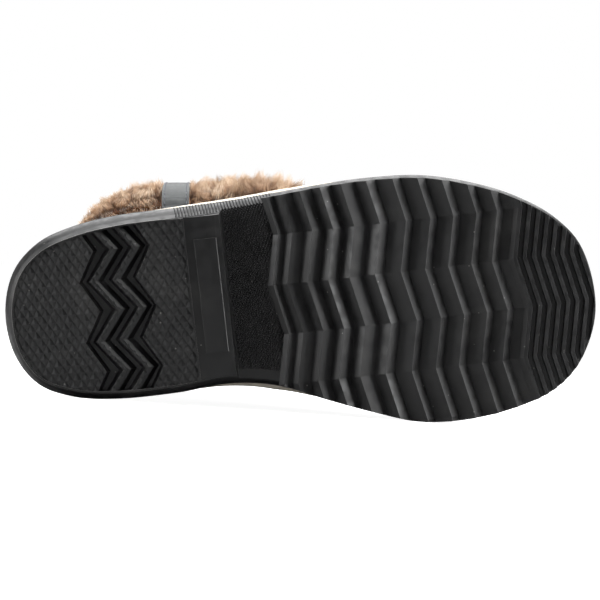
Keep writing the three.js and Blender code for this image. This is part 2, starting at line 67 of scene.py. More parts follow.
# along the sole, then half widths as shares, medial and lateral, then the midsole's lip on each side
outlineRows = [
    (0.0, 0.0, 0.0, -0.5, -0.5),
    (0.015, 0.478, 0.434, -0.5, -0.5),
    (0.055, 0.805, 0.729, -0.5, -0.5),
    (0.117, 0.947, 0.913, -0.5, -0.5),
    (0.19, 0.968, 1.028, -0.4, -0.3),
    (0.29, 0.903, 1.11, 0.0, 0.0),
    (0.38, 0.761, 1.117, 0.7, 0.15),
    (0.46, 0.696, 1.075, 0.95, 0.2),
    (0.54, 0.738, 1.053, 0.1, 0.0),
    (0.62, 0.821, 1.075, -0.5, -0.6),
    (0.7, 0.901, 1.092, -0.7, -0.7),
    (0.78, 0.885, 1.039, -0.7, -0.7),
    (0.86, 0.797, 0.926, -0.7, -0.7),
    (0.93, 0.646, 0.744, -0.7, -0.7),
    (0.975, 0.412, 0.506, -0.7, -0.7),
    (1.0, 0.0, 0.0, -0.7, -0.7),
]


def smoothStep(value, low, high):
    share = np.clip((value - low) / (high - low), 0, 1)
    return share * share * (3 - 2 * share)


def mix(low, high, share):
    return low + (high - low) * share


def toTread(x, y):
    turn = solePlan["treadTurn"]
    return x * math.cos(turn) - y * math.sin(turn), x * math.sin(turn) + y * math.cos(turn)


def fromTread(u, v):
    turn = solePlan["treadTurn"]
    return u * math.cos(turn) + v * math.sin(turn), v * math.cos(turn) - u * math.sin(turn)


def treadRise(x, y):
    along = toTread(x, y)[0] / solePlan["length"]
    arch = smoothStep(along, *solePlan["archStart"]) * (1 - smoothStep(along, *solePlan["archEnd"]))
    start, run = solePlan["springSpan"]
    spring = np.maximum(0, (along - start) / run)
    return solePlan["archRise"] * arch + solePlan["toeSpring"] * spring * spring


def sideHeight(x):
    fore = smoothStep(x / solePlan["length"], *solePlan["foreSpan"])
    return solePlan["outsoleHeight"] * mix(1, solePlan["foreHeight"], fore)


def featherHeight(x, y):
    return treadRise(x, y) + sideHeight(x) + solePlan["midsoleHeight"] + 2 * solePlan["seatGap"]


# Smooth blend of the rows round a fractional place among them
def rowBetween(rows, at):
    last = len(rows) - 1
    k = min(int(at), last - 1)
    t = at - k
    p = [rows[min(max(k + j, 0), last)] for j in (-1, 0, 1, 2)]
    return 0.5 * (2 * p[1] + (p[2] - p[0]) * t + (2 * p[0] - 5 * p[1] + 4 * p[2] - p[3]) * t ** 2
                  + (3 * p[1] - p[0] - 3 * p[2] + p[3]) * t ** 3)


# Smooth closed curve through points, tight where they stand close together
def loopCurve(points, steps):
    count = len(points)
    made = []
    for i in range(count):
        p = [np.array(points[(i + k - 1) % count], float) for k in range(4)]
        t = [0.0]
        for k in range(3):
            t.append(t[-1] + math.sqrt(np.linalg.norm(p[k + 1] - p[k])))
        for step in range(steps):
            at = mix(t[1], t[2], step / steps)
            a = [mix(p[k], p[k + 1], (at - t[k]) / (t[k + 1] - t[k])) for k in range(3)]
            b = [mix(a[k], a[k + 1], (at - t[k]) / (t[k + 2] - t[k])) for k in range(2)]
            made.append(mix(b[0], b[1], (at - t[1]) / (t[2] - t[1])))
    return np.array(made)


# Outline of the sole as evenly spaced points with outward normals, medial half first
def soleOutline(count):
    length = solePlan["length"]

    def corner(row, side):
        wide = mix(solePlan["heelWidth"], solePlan["ballWidth"], smoothStep(row[0], *solePlan["foreSpan"])) / 2
        return (length * row[0], wide * row[1] if side > 0 else -wide * row[2])

    corners = [corner(row, 1) for row in outlineRows]
    corners += [corner(row, -1) for row in reversed(outlineRows[1:-1])]
    fine = loopCurve(corners, 40)
    closed = np.vstack([fine, fine[:1]])
    steps = np.linalg.norm(np.diff(closed, axis=0), axis=1)
    reach = np.concatenate([[0], np.cumsum(steps)])
    wanted = np.arange(count) * reach[-1] / count
    x = np.interp(wanted, reach, closed[:, 0])
    y = np.interp(wanted, reach, closed[:, 1])
    tangent = np.stack([np.roll(x, -1) - np.roll(x, 1), np.roll(y, -1) - np.roll(y, 1)], axis=1)
    tangent /= np.linalg.norm(tangent, axis=1)[:, None]
    medial = np.arange(count) < count / 2
    return {"x": x, "y": y, "nx": -tangent[:, 1], "ny": tangent[:, 0], "medial": medial}


# Outline moved inwards, with a height for each of its points
def outlineRing(outline, inset, height):
    x = outline["x"] - inset * outline["nx"]
    y = outline["y"] - inset * outline["ny"]
    return np.stack([x, y, height(x, y)], axis=1)


def newObject(name, points, faces):
    mesh = bpy.data.meshes.new(name)
    mesh.from_pydata(np.asarray(points, float) * millimetre, [], faces)
    mesh.update()
    made = bpy.data.objects.new(name, mesh)
    bpy.context.scene.collection.objects.link(made)
    return made


def facingOut(made):
    shape = bmesh.new()
    shape.from_mesh(made.data)
    bmesh.ops.recalc_face_normals(shape, faces=shape.faces)
    if shape.calc_volume(signed=True) < 0:
        bmesh.ops.reverse_faces(shape, faces=shape.faces)
    shape.to_mesh(made.data)
    shape.free()
    return made


# Faces between two rings of points
def bandFaces(low, high, count):
    turns = [(i, (i + 1) % count) for i in range(count)]
    return [(low + i, low + k, high + k, high + i) for i, k in turns]


# Closed solid through rings, ended by ladder caps or joined back to its start
def loft(name, rings, capped=True):
    count = len(rings[0])
    faces = []
    bands = len(rings) - 1 if capped else len(rings)
    for r in range(bands):
        faces += bandFaces(r * count, (r + 1) % len(rings) * count, count)
    if capped:
        last = (len(rings) - 1) * count
        for i in range(count // 2):
            rung = [i, i + 1, count - i - 1, (count - i) % count]
            rung = list(dict.fromkeys(rung))
            faces.append(tuple(reversed(rung)))
            faces.append(tuple(last + k for k in rung))
    return facingOut(newObject(name, np.vstack(rings), faces))


# Solid across the sole from its side view, given as points u along the tread and z up
def acrossTread(name, profile, low, high):
    points = []
    for v in (low, high):
        for u, z in profile:
            x, y = fromTread(u, v)
            points.append((x, y, z))
    count = len(profile)
    faces = [tuple(range(count)), tuple(reversed(range(count, 2 * count)))]
    faces += bandFaces(0, count, count)
    return facingOut(newObject(name, points, faces))


# Box across the whole sole between two places along the tread
def acrossBox(name, start, end):
    wide = solePlan["ballWidth"]
    return acrossTread(name, [(start, -20), (end, -20), (end, 40), (start, 40)], -wide, wide)


# Block whose lower side has rows u, lift and swing, each row swung to and fro along a zigzag
def zigzagBlock(name, rows, firstTurn, span, thickness):
    reach = solePlan["ballWidth"]
    start = firstTurn + span * math.ceil((-reach - firstTurn) / span)
    stations = np.arange(start, reach, span)
    rings = []
    for v in stations:
        turn = round((v - firstTurn) / span)
        side = 0.5 if turn % 2 == 0 else -0.5
        low = []
        for u, lift, swing in rows:
            x, y = fromTread(u + swing * side, v)
            low.append((x, y, treadRise(x, y) + lift))
        high = [(x, y, treadRise(x, y) + thickness) for x, y, z in low]
        rings.append(low + high[::-1])
    count = len(rings[0])
    half = len(rows)
    faces = []
    for r in range(len(rings) - 1):
        faces += bandFaces(r * count, (r + 1) * count, count)
    last = (len(rings) - 1) * count
    for i in range(half - 1):
        strip = (i, i + 1, count - 2 - i, count - 1 - i)
        faces.append(tuple(reversed(strip)))
        faces.append(tuple(last + k for k in strip))
    return facingOut(newObject(name, np.vstack(rings), faces))


# Block from a grid of corners, the same grid above it, and a tip over the middle of each cell
def blockFromGrid(name, points, columns, rows):
    stride = rows + 1
    above = stride * (columns + 1)
    faces = []
    for i in range(columns):
        for j in range(rows):
            ring = (i * stride + j, (i + 1) * stride + j, (i + 1) * stride + j + 1, i * stride + j + 1)
            tip = 2 * above + i * rows + j
            faces += [(ring[k], ring[(k + 1) % 4], tip) for k in range(4)]
            faces.append(tuple(above + k for k in reversed(ring)))
    rim = [(i, 0) for i in range(columns)] + [(columns, j) for j in range(rows)]
    rim += [(columns - i, rows) for i in range(columns)] + [(0, rows - j) for j in range(rows)]
    for (i, j), (m, n) in zip(rim, rim[1:] + rim[:1]):
        p, q = i * stride + j, m * stride + n
        faces.append((p, q, above + q, above + p))
    return facingOut(newObject(name, points, faces))


# Block whose lower side is a field of small pyramids set along two directions
def pyramidBlock(name, field, height, thickness):
    a, b = np.array(field["firstStep"]), np.array(field["secondStep"])
    origin = np.array(field["origin"])
    reach = field["cells"]
    points = []
    for lift in (field["depth"], thickness):
        for i in range(reach + 1):
            for j in range(reach + 1):
                x, y = origin + (i - reach / 2) * a + (j - reach / 2) * b
                points.append((x, y, height(x, y) + lift))
    tips = []
    for i in range(reach):
        for j in range(reach):
            x, y = origin + (i + 0.5 - reach / 2) * a + (j + 0.5 - reach / 2) * b
            tips.append((x, y, height(x, y)))
    return blockFromGrid(name, points + tips, reach, reach)


def applyModifiers(made):
    bpy.context.view_layer.update()
    whole = made.evaluated_get(bpy.context.evaluated_depsgraph_get())
    mesh = bpy.data.meshes.new_from_object(whole)
    made.modifiers.clear()
    made.data = mesh
    return made


def combine(made, other, operation):
    change = made.modifiers.new("combine", "BOOLEAN")
    change.operation = operation
    change.solver = "MANIFOLD"
    change.object = other
    applyModifiers(made)
    bpy.data.objects.remove(other)
    return made


# Where the standing boot lies, found from the mount on its heel
heelMount = {"name": "heel_tread", "x": 22.0}


def lyingPlace():
    mount = next(m for m in frame["record"]["mounts"] if m["name"] == heelMount["name"])
    down = Vector(mount["axis"])
    roll = math.asin(down.y)
    pitch = math.atan2(-down.x, -down.z)
    turn = Matrix.Rotation(pitch, 4, "Y") @ Matrix.Rotation(roll, 4, "X")
    origin = Vector(mount["pos_m"]) - turn @ Vector((heelMount["x"] * millimetre, 0, 0))
    return Matrix.Translation(origin) @ turn


lying = lyingPlace()


def addPiece(made, material, slot, *nodes):
    made.data.materials.clear()
    for each in material if isinstance(material, list) else [material]:
        made.data.materials.append(each)
    made.data.transform(lying)
    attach(made, "root")
    if nodes:
        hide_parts(*nodes)
    print("piece", made.name, len(made.data.polygons), "faces")
    return made


def shadeSmooth(made, angle):
    for face in made.data.polygons:
        face.use_smooth = True
    made.data.set_sharp_from_angle(angle=math.radians(angle))


# Camera: aim and distance in millimetres of the standing boot
viewPlan = {
    "aim": (139.5, -5.7, 0.0),
    "distance": 2000.0,
    "tilt": math.radians(4.2),
    "frameWidth": 282.2,
    "sensor": 36.0,
}


def makeCamera():
    back = Vector((0, -math.sin(viewPlan["tilt"]), -math.cos(viewPlan["tilt"])))
    right = Vector((1, 0, 0))
    up = back.cross(right)
    turn = Matrix((right, up, back)).transposed().to_4x4()
    spot = Vector(viewPlan["aim"]) + back * viewPlan["distance"]
    camera = bpy.data.cameras.new("camera")
    camera.sensor_width = viewPlan["sensor"]
    camera.lens = viewPlan["sensor"] * viewPlan["distance"] / viewPlan["frameWidth"]
    camera.clip_end = 100
    made = bpy.data.objects.new("camera", camera)
    bpy.context.scene.collection.objects.link(made)
    made.matrix_world = lying @ Matrix.Translation(spot * millimetre) @ turn
    bpy.context.scene.camera = made


makeCamera()
bpy.context.scene.view_settings.view_transform = "Standard"
print("camera set")

# Lamps: centre, size across and up in metres, watts
lampPlan = {
    "left": {"place": (-0.62, -0.21, 0.2), "size": (0.3, 0.5), "power": 3.4},
    "right": {"place": (0.6, -0.2, 0.18), "size": (0.3, 0.5), "power": 4.0},
    "top": {"place": (0.0, -0.13, 0.62), "size": (0.9, 0.4), "power": 9},
    "front": {"place": (0.0, -1.5, 1.5), "size": (0.6, 0.4), "power": 1.5},
    "back": {"place": (0.0, 1.0, 0.9), "size": (1.2, 0.8), "power": 9},
}


def makeLamps():
    middle = Vector((0, 0, 0.05))
    for name, plan in lampPlan.items():
        lamp = bpy.data.lights.new("lamp_" + name, "AREA")
        lamp.shape = "RECTANGLE"
        lamp.size, lamp.size_y = plan["size"]
        lamp.energy = plan["power"]
        made = bpy.data.objects.new("lamp_" + name, lamp)
        bpy.context.scene.collection.objects.link(made)
        made.location = plan["place"]
        made.rotation_mode = "QUATERNION"
        made.rotation_quaternion = (middle - made.location).to_track_quat("-Z", "Y")


makeLamps()


# Short ways to write shader nodes; an input takes a number or another node's output
def addNode(tree, kind, inputs=None, **settings):
    made = tree.nodes.new(kind)
    for key, value in settings.items():
        setattr(made, key, value)
    for key, value in (inputs or {}).items():
        if isinstance(value, bpy.types.NodeSocket):
            tree.links.new(value, made.inputs[key])
        else:
            made.inputs[key].default_value = value
    return made


def addGroup(tree, group, inputs):
    return addNode(tree, "ShaderNodeGroup", inputs, node_tree=group)


def addMath(tree, operation, first, second=0.0):
    return addNode(tree, "ShaderNodeMath", {0: first, 1: second}, operation=operation).outputs[0]


def addRamp(tree, value, low, high, floor=0.0, ceiling=1.0):
    inputs = {"Value": value, "From Min": low, "From Max": high, "To Min": floor, "To Max": ceiling}
    made = addNode(tree, "ShaderNodeMapRange", inputs, interpolation_type="SMOOTHSTEP")
    return made.outputs["Result"]


def addBlend(tree, share, first, second):
    inputs = {0: share, 6: first, 7: second}
    return addNode(tree, "ShaderNodeMix", inputs, data_type="RGBA").outputs[2]


# Place in the standing boot, in metres
def addPlace(tree):
    place = addNode(tree, "ShaderNodeTexCoord").outputs["Object"]
    inputs = {"Vector": place, "Location": lying.to_translation(), "Rotation": lying.to_euler()}
    return addNode(tree, "ShaderNodeMapping", inputs, vector_type="TEXTURE").outputs[0]


def newGroup(name, inputs, outputs):
    group = bpy.data.node_groups.new(name, "ShaderNodeTree")
    for label, kind, value in inputs:
        socket = group.interface.new_socket(label, in_out="INPUT", socket_type=kind)
        if value is not None:
            socket.default_value = value
    for label, kind in outputs:
        group.interface.new_socket(label, in_out="OUTPUT", socket_type=kind)
    return group, group.nodes.new("NodeGroupInput"), group.nodes.new("NodeGroupOutput")


# Fine grain: two sizes of noise as one height
def grainGroup():
    group, given, result = newGroup(
        "fineGrain",
        [("Place", "NodeSocketVector", None), ("Scale", "NodeSocketFloat", 1000.0)],
        [("Height", "NodeSocketFloat"), ("Patches", "NodeSocketFloat")],
    )
    place, scale = given.outputs["Place"], given.outputs["Scale"]
    fine = addNode(group, "ShaderNodeTexNoise", {"Vector": place, "Scale": scale, "Detail": 3.0})
    coarse = addNode(group, "ShaderNodeTexNoise", {
        "Vector": place, "Scale": addMath(group, "MULTIPLY", scale, 0.09), "Detail": 4.0})
    height = addMath(group, "ADD", fine.outputs[0], addMath(group, "MULTIPLY", coarse.outputs[0], 0.6))
    group.links.new(height, result.inputs["Height"])
    group.links.new(addRamp(group, coarse.outputs[0], 0.35, 0.65), result.inputs["Patches"])
    return group


# Dust: small sparse specks and wider faint smears
def dustGroup():
    group, given, result = newGroup(
        "lightDust",
        [("Place", "NodeSocketVector", None), ("Scale", "NodeSocketFloat", 400.0),
         ("Share", "NodeSocketFloat", 0.1)],
        [("Specks", "NodeSocketFloat"), ("Smear", "NodeSocketFloat")],
    )
    place, scale, share = (given.outputs[k] for k in ("Place", "Scale", "Share"))
    cells = addNode(group, "ShaderNodeTexVoronoi", {"Vector": place, "Scale": scale})
    near = addMath(group, "LESS_THAN", cells.outputs["Distance"], 0.16)
    shade = addNode(group, "ShaderNodeSeparateColor", {0: cells.outputs["Color"]}).outputs[0]
    chosen = addMath(group, "LESS_THAN", shade, share)
    group.links.new(addMath(group, "MULTIPLY", near, chosen), result.inputs["Specks"])
    smear = addNode(group, "ShaderNodeTexNoise", {"Vector": place, "Scale": 38.0, "Detail": 5.0})
    group.links.new(addRamp(group, smear.outputs[0], 0.5, 0.75), result.inputs["Smear"])
    return group


# Weave of two crossing yarns, as a height and a mask of the gaps between them
def weaveGroup():
    group, given, result = newGroup(
        "plainWeave",
        [("Place", "NodeSocketVector", None), ("Scale", "NodeSocketFloat", 1000.0)],
        [("Height", "NodeSocketFloat"), ("Gaps", "NodeSocketFloat")],
    )
    scaled = addNode(group, "ShaderNodeVectorMath", {0: given.outputs["Place"]}, operation="SCALE")
    group.links.new(given.outputs["Scale"], scaled.inputs["Scale"])
    parts = addNode(group, "ShaderNodeSeparateXYZ", {0: scaled.outputs[0]})
    waves = [addMath(group, "SINE", parts.outputs[k]) for k in (0, 2)]
    crossing = addMath(group, "MULTIPLY", waves[0], waves[1])
    height = addMath(group, "ABSOLUTE", crossing)
    group.links.new(height, result.inputs["Height"])
    group.links.new(addRamp(group, height, 0.0, 0.35, 1.0, 0.0), result.inputs["Gaps"])
    return group


fineGrain = grainGroup()
lightDust = dustGroup()
plainWeave = weaveGroup()


def newMaterial(name, roughness, **settings):
    made = bpy.data.materials.new(name)
    made.use_nodes = True
    tree = made.node_tree
    shader = tree.nodes["Principled BSDF"]
    shader.inputs["Roughness"].default_value = roughness
    for key, value in settings.items():
        shader.inputs[key.replace("_", " ")].default_value = value
    return made, tree, shader


def colour(red, green, blue):
    def linear(value):
        value /= 255
        return value / 12.92 if value <= 0.04045 else ((value + 0.055) / 1.055) ** 2.4
    return (linear(red), linear(green), linear(blue), 1.0)


# Base colour and a bump of its own on the shader
def setLook(tree, shader, base, height, strength, distance, under=None):
    tree.links.new(base, shader.inputs["Base Color"])
    bump = addNode(tree, "ShaderNodeBump", {"Height": height, "Strength": strength, "Distance": distance})
    if under is not None:
        tree.links.new(under, bump.inputs["Normal"])
    tree.links.new(bump.outputs[0], shader.inputs["Normal"])


rubberFinish = {
    "black": colour(15, 15, 16),
    "worn": colour(30, 30, 31),
    "dust": colour(150, 148, 144),
    "rough": (0.36, 0.5),
    "edgeRadius": 0.00015,
    "wornShare": 0.35,
    "smearShare": 0.05,
    "speckShare": 0.35,
    # painted highlight along the heel's tread edge: heights of the standing boot in metres, the face's slope,
    # and the share
    "edgeHighlightHeight": (-0.0002, 0.0007),
    "edgeHighlightSide": (0.45, 0.7),
    "edgeHighlightShare": 0.6,
}


def blackRubber():
    finish = rubberFinish
    made, tree, shader = newMaterial("black_rubber", 0.42)
    place = addPlace(tree)
    grain = addGroup(tree, fineGrain, {"Place": place, "Scale": 2600.0})
    dust = addGroup(tree, lightDust, {"Place": place, "Scale": 420.0, "Share": 0.05})
    worn = addMath(tree, "MULTIPLY", grain.outputs["Patches"], finish["wornShare"])
    base = addBlend(tree, worn, finish["black"], finish["worn"])
    for output, most in (("Smear", finish["smearShare"]), ("Specks", finish["speckShare"])):
        share = addMath(tree, "MULTIPLY", dust.outputs[output], most)
        base = addBlend(tree, share, base, finish["dust"])
    # painted highlight: the heel's steep faces where the side meets the tread are painted in the pale dust
    # grey, standing in for the light caught on that edge
    height = addNode(tree, "ShaderNodeSeparateXYZ", {0: place}).outputs[2]
    level = addRamp(tree, height, *finish["edgeHighlightHeight"], 1, 0)
    upright = addNode(tree, "ShaderNodeVectorMath", {
        0: addNode(tree, "ShaderNodeNewGeometry").outputs["Normal"],
        1: lying.to_3x3() @ Vector((0, 0, 1))}, operation="DOT_PRODUCT").outputs["Value"]
    side = addRamp(tree, addMath(tree, "ABSOLUTE", upright), *finish["edgeHighlightSide"], 1, 0)
    edge = addMath(tree, "MULTIPLY", addMath(tree, "MULTIPLY", level, side), finish["edgeHighlightShare"])
    base = addBlend(tree, edge, base, finish["dust"])
    rough = addRamp(tree, grain.outputs["Patches"], 0, 1, *finish["rough"])
    tree.links.new(rough, shader.inputs["Roughness"])
    rounded = addNode(tree, "ShaderNodeBevel", {"Radius": finish["edgeRadius"]}, samples=4)
    setLook(tree, shader, base, grain.outputs["Height"], 0.06, 0.0001, rounded.outputs[0])
    return made


creamFinish = {
    "cream": colour(240, 231, 214),
    "soiled": colour(196, 184, 162),
    "soiledShare": 0.5,
    "rough": (0.48, 0.64),
}


def creamRubber():
    made, tree, shader = newMaterial("cream_rubber", 0.55)
    place = addPlace(tree)
    grain = addGroup(tree, fineGrain, {"Place": place, "Scale": 1800.0})
    dust = addGroup(tree, lightDust, {"Place": place, "Scale": 300.0, "Share": 0.08})
    base = creamFinish["cream"]
    for output in ("Smear", "Specks"):
        share = addMath(tree, "MULTIPLY", dust.outputs[output], creamFinish["soiledShare"])
        base = addBlend(tree, share, base, creamFinish["soiled"])
    rough = addRamp(tree, grain.outputs["Patches"], 0, 1, *creamFinish["rough"])
    tree.links.new(rough, shader.inputs["Roughness"])
    setLook(tree, shader, base, grain.outputs["Height"], 0.2, 0.0002)
    return made


suedeFinish = {"grey": colour(112, 113, 114), "dark": colour(84, 85, 87), "light": colour(142, 142, 141)}


def greySuede():
    made, tree, shader = newMaterial("grey_suede", 0.93, Sheen_Weight=0.35, Sheen_Roughness=0.5)
    place = addPlace(tree)
    nap = addGroup(tree, fineGrain, {"Place": place, "Scale": 1500.0})
    brushed = addNode(tree, "ShaderNodeTexNoise", {
        "Vector": place, "Scale": 26.0, "Detail": 6.0, "Distortion": 1.2})
    share = addRamp(tree, brushed.outputs[0], 0.35, 0.68)
    base = addBlend(tree, share, suedeFinish["dark"], suedeFinish["light"])
    base = addBlend(tree, 0.55, base, suedeFinish["grey"])
    flecks = addMath(tree, "MULTIPLY", addRamp(tree, nap.outputs["Height"], 0.6, 1.1), 0.4)
    base = addBlend(tree, flecks, base, suedeFinish["light"])
    setLook(tree, shader, base, nap.outputs["Height"], 0.5, 0.0004)
    return made


feltFinish = {"felt": colour(176, 152, 122), "deep": colour(122, 98, 72)}


def woolFelt():
    made, tree, shader = newMaterial("wool_felt", 0.96, Sheen_Weight=0.3)
    place = addPlace(tree)
    nap = addGroup(tree, fineGrain, {"Place": place, "Scale": 900.0})
    base = addBlend(tree, nap.outputs["Patches"], feltFinish["deep"], feltFinish["felt"])
    setLook(tree, shader, base, nap.outputs["Height"], 0.7, 0.0008)
    return made


furFinish = {
    # root: deep brown, painted as shade at the strands' roots, and also used as a random dark tone
    "root": colour(92, 56, 32),
    "middle": colour(160, 120, 86),
    "tip": colour(196, 166, 134),
    "pale": colour(226, 208, 184),
    "backing": colour(128, 90, 62),
}


def tanFur():
    made, tree, shader = newMaterial("tan_fur", 0.62, Sheen_Weight=0.25, Sheen_Roughness=0.4)
    height = addNode(tree, "ShaderNodeAttribute", attribute_name="heightShare").outputs["Fac"]
    tone = addNode(tree, "ShaderNodeAttribute", attribute_name="tone").outputs["Fac"]
    # painted shade: each strand is darkest at its root, where the fur shades itself, and lightens towards its
    # tip
    base = addBlend(tree, addRamp(tree, height, 0.0, 0.5), furFinish["root"], furFinish["middle"])
    base = addBlend(tree, addRamp(tree, height, 0.35, 1.0), base, furFinish["tip"])
    base = addBlend(tree, addRamp(tree, tone, 0.55, 1.0, 0.0, 0.7), base, furFinish["pale"])
    base = addBlend(tree, addRamp(tree, tone, 0.0, 0.45, 0.6, 0.0), base, furFinish["root"])
    tree.links.new(base, shader.inputs["Base Color"])
    return made


def furBacking():
    made, tree, shader = newMaterial("fur_backing", 0.95)
    nap = addGroup(tree, fineGrain, {"Place": addPlace(tree), "Scale": 700.0})
    base = addBlend(tree, nap.outputs["Patches"], furFinish["root"], furFinish["backing"])
    setLook(tree, shader, base, nap.outputs["Height"], 0.8, 0.001)
    return made


webbingFinish = {"grey": colour(72, 74, 74), "pale": colour(92, 95, 95), "gap": colour(48, 50, 53)}


def greyWebbing():
    made, tree, shader = newMaterial("grey_webbing", 0.7, Sheen_Weight=0.2)
    place = addPlace(tree)
    weave = addGroup(tree, plainWeave, {"Place": place, "Scale": 5200.0})
    grain = addGroup(tree, fineGrain, {"Place": place, "Scale": 1500.0})
    base = addBlend(tree, grain.outputs["Patches"], webbingFinish["grey"], webbingFinish["pale"])
    base = addBlend(tree, 0.5, base, webbingFinish["grey"])
    base = addBlend(tree, addMath(tree, "MULTIPLY", weave.outputs["Gaps"], 0.5), base, webbingFinish["gap"])
    setLook(tree, shader, base, weave.outputs["Height"], 0.6, 0.00025)
    return made


threadFinish = {"pale": colour(168, 170, 171), "dark": colour(96, 97, 104), "shadow": colour(60, 60, 64)}


def sewingThread(name, shade):
    made, tree, shader = newMaterial(name, 0.6)
    twist = addNode(tree, "ShaderNodeTexWave", {
        "Vector": addPlace(tree), "Scale": 1400.0, "Distortion": 2.0})
    share = addMath(tree, "MULTIPLY", twist.outputs["Fac"], 0.35)
    base = addBlend(tree, share, shade, threadFinish["shadow"])
    setLook(tree, shader, base, twist.outputs["Fac"], 0.4, 0.0001)
    return made


rubber = blackRubber()
cream = creamRubber()
suede = greySuede()
felt = woolFelt()
fur = tanFur()
backing = furBacking()
webbing = greyWebbing()
print("materials made")

# Sole: side rows as height share and inset; places along it as shares of its length
treadPlan = {
    "sideRows": [(-0.35, 5.3), (-0.012, 4.35), (-0.006, 4.0), (0.02, 3.82), (0.038, 4.15), (0.065, 3.85),
                 (0.11, 3.05), (0.16, 2.35), (0.25, 1.5), (0.36, 0.75), (0.48, 0.25), (0.6, 0), (0.8, 0),
                 (0.83, 0.8), (0.9, 0.8), (0.93, 0), (1, 0.2)],
    "landStart": 0.317,
    "breastStart": 0.369,
    "breastRun": 3.2,
    "landRecess": 1.0,
    "waistEnd": 0.455,
    "waistBorder": 5.0,
    "waistRecess": 1.8,
    "lugDepth": 4.0,
    "lugOverhang": 0.8,
    "lugSpan": 23.6,
    "lugSwing": 5.0,
    "firstLugTurn": -21.9,
    # crest, valley and the valley's depth share
    "lugRows": [(0.464, 0.476, 0.65), (0.488, 0.508, 0.9), (0.522, 0.542, 1), (0.557, 0.576, 1),
                (0.593, 0.617, 1), (0.636, 0.652, 1), (0.68, 0.693, 1), (0.721, 0.734, 1), (0.76, 0.773, 1),
                (0.799, 0.811, 1), (0.834, 0.846, 1)],
    "lugsEnd": 0.8615,
    "ribPitch": 4.5,
    "ribDepth": 1.8,
    "ribRows": [(0.05, 0), (0.45, 0), (0.55, 1), (0.95, 1)],
    # place, depth share and swing
    "channelRows": [(0.1455, 0, 8.3), (0.152, 1, 8.3), (0.162, 1, 10.6), (0.1695, 0.1, 11),
                    (0.172, 0.05, 11), (0.1755, 0.06, 11), (0.183, 0.3, 11), (0.192, 1, 11),
                    (0.2005, 1, 11), (0.2075, 0.1, 11), (0.21, 0.05, 11), (0.2135, 0.06, 11),
                    (0.221, 0.3, 11), (0.23, 1, 10.6), (0.237, 1, 8.3), (0.2435, 0, 8.3)],
    "channelDepth": 5.2,
    "channelSpan": 14.3,
    "firstChannelTurn": -23.8,
    "channelInset": 4.8,
    "barPlace": 0.35,
    "barMiddle": 3.0,
    "barWidth": 10.8,
    "barLength": 54.0,
    "barTop": 0.2,
    "barEdge": 0.35,
    "pocketInset": 4.75,
    "knurlInset": 4.7,
    "waistInset": 2.7,
    "shadingAngle": 9,
}
heelField = {"firstStep": (-1.48, 3.55), "secondStep": (2.5, 3.29), "origin": (50.0, 0.0), "cells": 34,
             "depth": 0.75}
waistField = {"firstStep": (-0.36, 1.0), "secondStep": (1.12, 0.74), "origin": (113.0, -10.0), "cells": 104,
              "depth": 0.85}


def insetBlock(name, outline, inset, low, high):
    rings = [outlineRing(outline, inset, lambda x, y, up=up: treadRise(x, y) + up * sideHeight(x))
             for up in (low, high)]
    return loft(name, rings)


# along the side in millimetres; low, waistLow and high are shares of the side's height
sideRidges = {
    "from": 81.0,
    "to": 126.0,
    "pitch": 1.45,
    "half": 0.62,
    "slant": -1.6,
    "low": 0.05,
    "waistLow": 0.14,
    "high": 0.84,
    "height": 0.45,
    "foot": -0.12,
    "root": -0.9,
    "steps": 7,
}


# Slanted ridges that carry the diamonds of the waist on over the lateral side
def makeSideRidges(outline):
    plan = sideRidges
    lateral = ~outline["medial"]
    order = np.argsort(outline["x"][lateral])
    known = {key: outline[key][lateral][order] for key in ("x", "y", "nx", "ny")}
    ups, insets = zip(*treadPlan["sideRows"])
    breast = treadPlan["breastStart"] * solePlan["length"]

    def onSide(at, up, out):
        x, y, nx, ny = (np.interp(at, known["x"], known[key]) for key in ("x", "y", "nx", "ny"))
        away = out - float(np.interp(up, ups, insets))
        x, y = x + away * nx, y + away * ny
        return (x, y, treadRise(x, y) + up * sideHeight(x))

    half = plan["half"]
    section = ((-half, plan["foot"]), (0, plan["height"]), (half, plan["foot"]), (0, plan["root"]))
    points, faces = [], []
    for start in np.arange(plan["from"], plan["to"], plan["pitch"]):
        low = plan["low"] if start < breast - 1 else plan["waistLow"]
        for up in np.linspace(low, plan["high"], plan["steps"]):
            middle = start + plan["slant"] * up
            for along, out in section:
                points.append(onSide(middle + along, up, out))
        first = len(points) - 4 * plan["steps"]
        faces += [tuple(first + k for k in (3, 2, 1, 0)), tuple(len(points) - 4 + k for k in range(4))]
        for ring in range(first, len(points) - 4, 4):
            faces += bandFaces(ring, ring + 4, 4)
    return facingOut(newObject("side_ridges", points, faces))


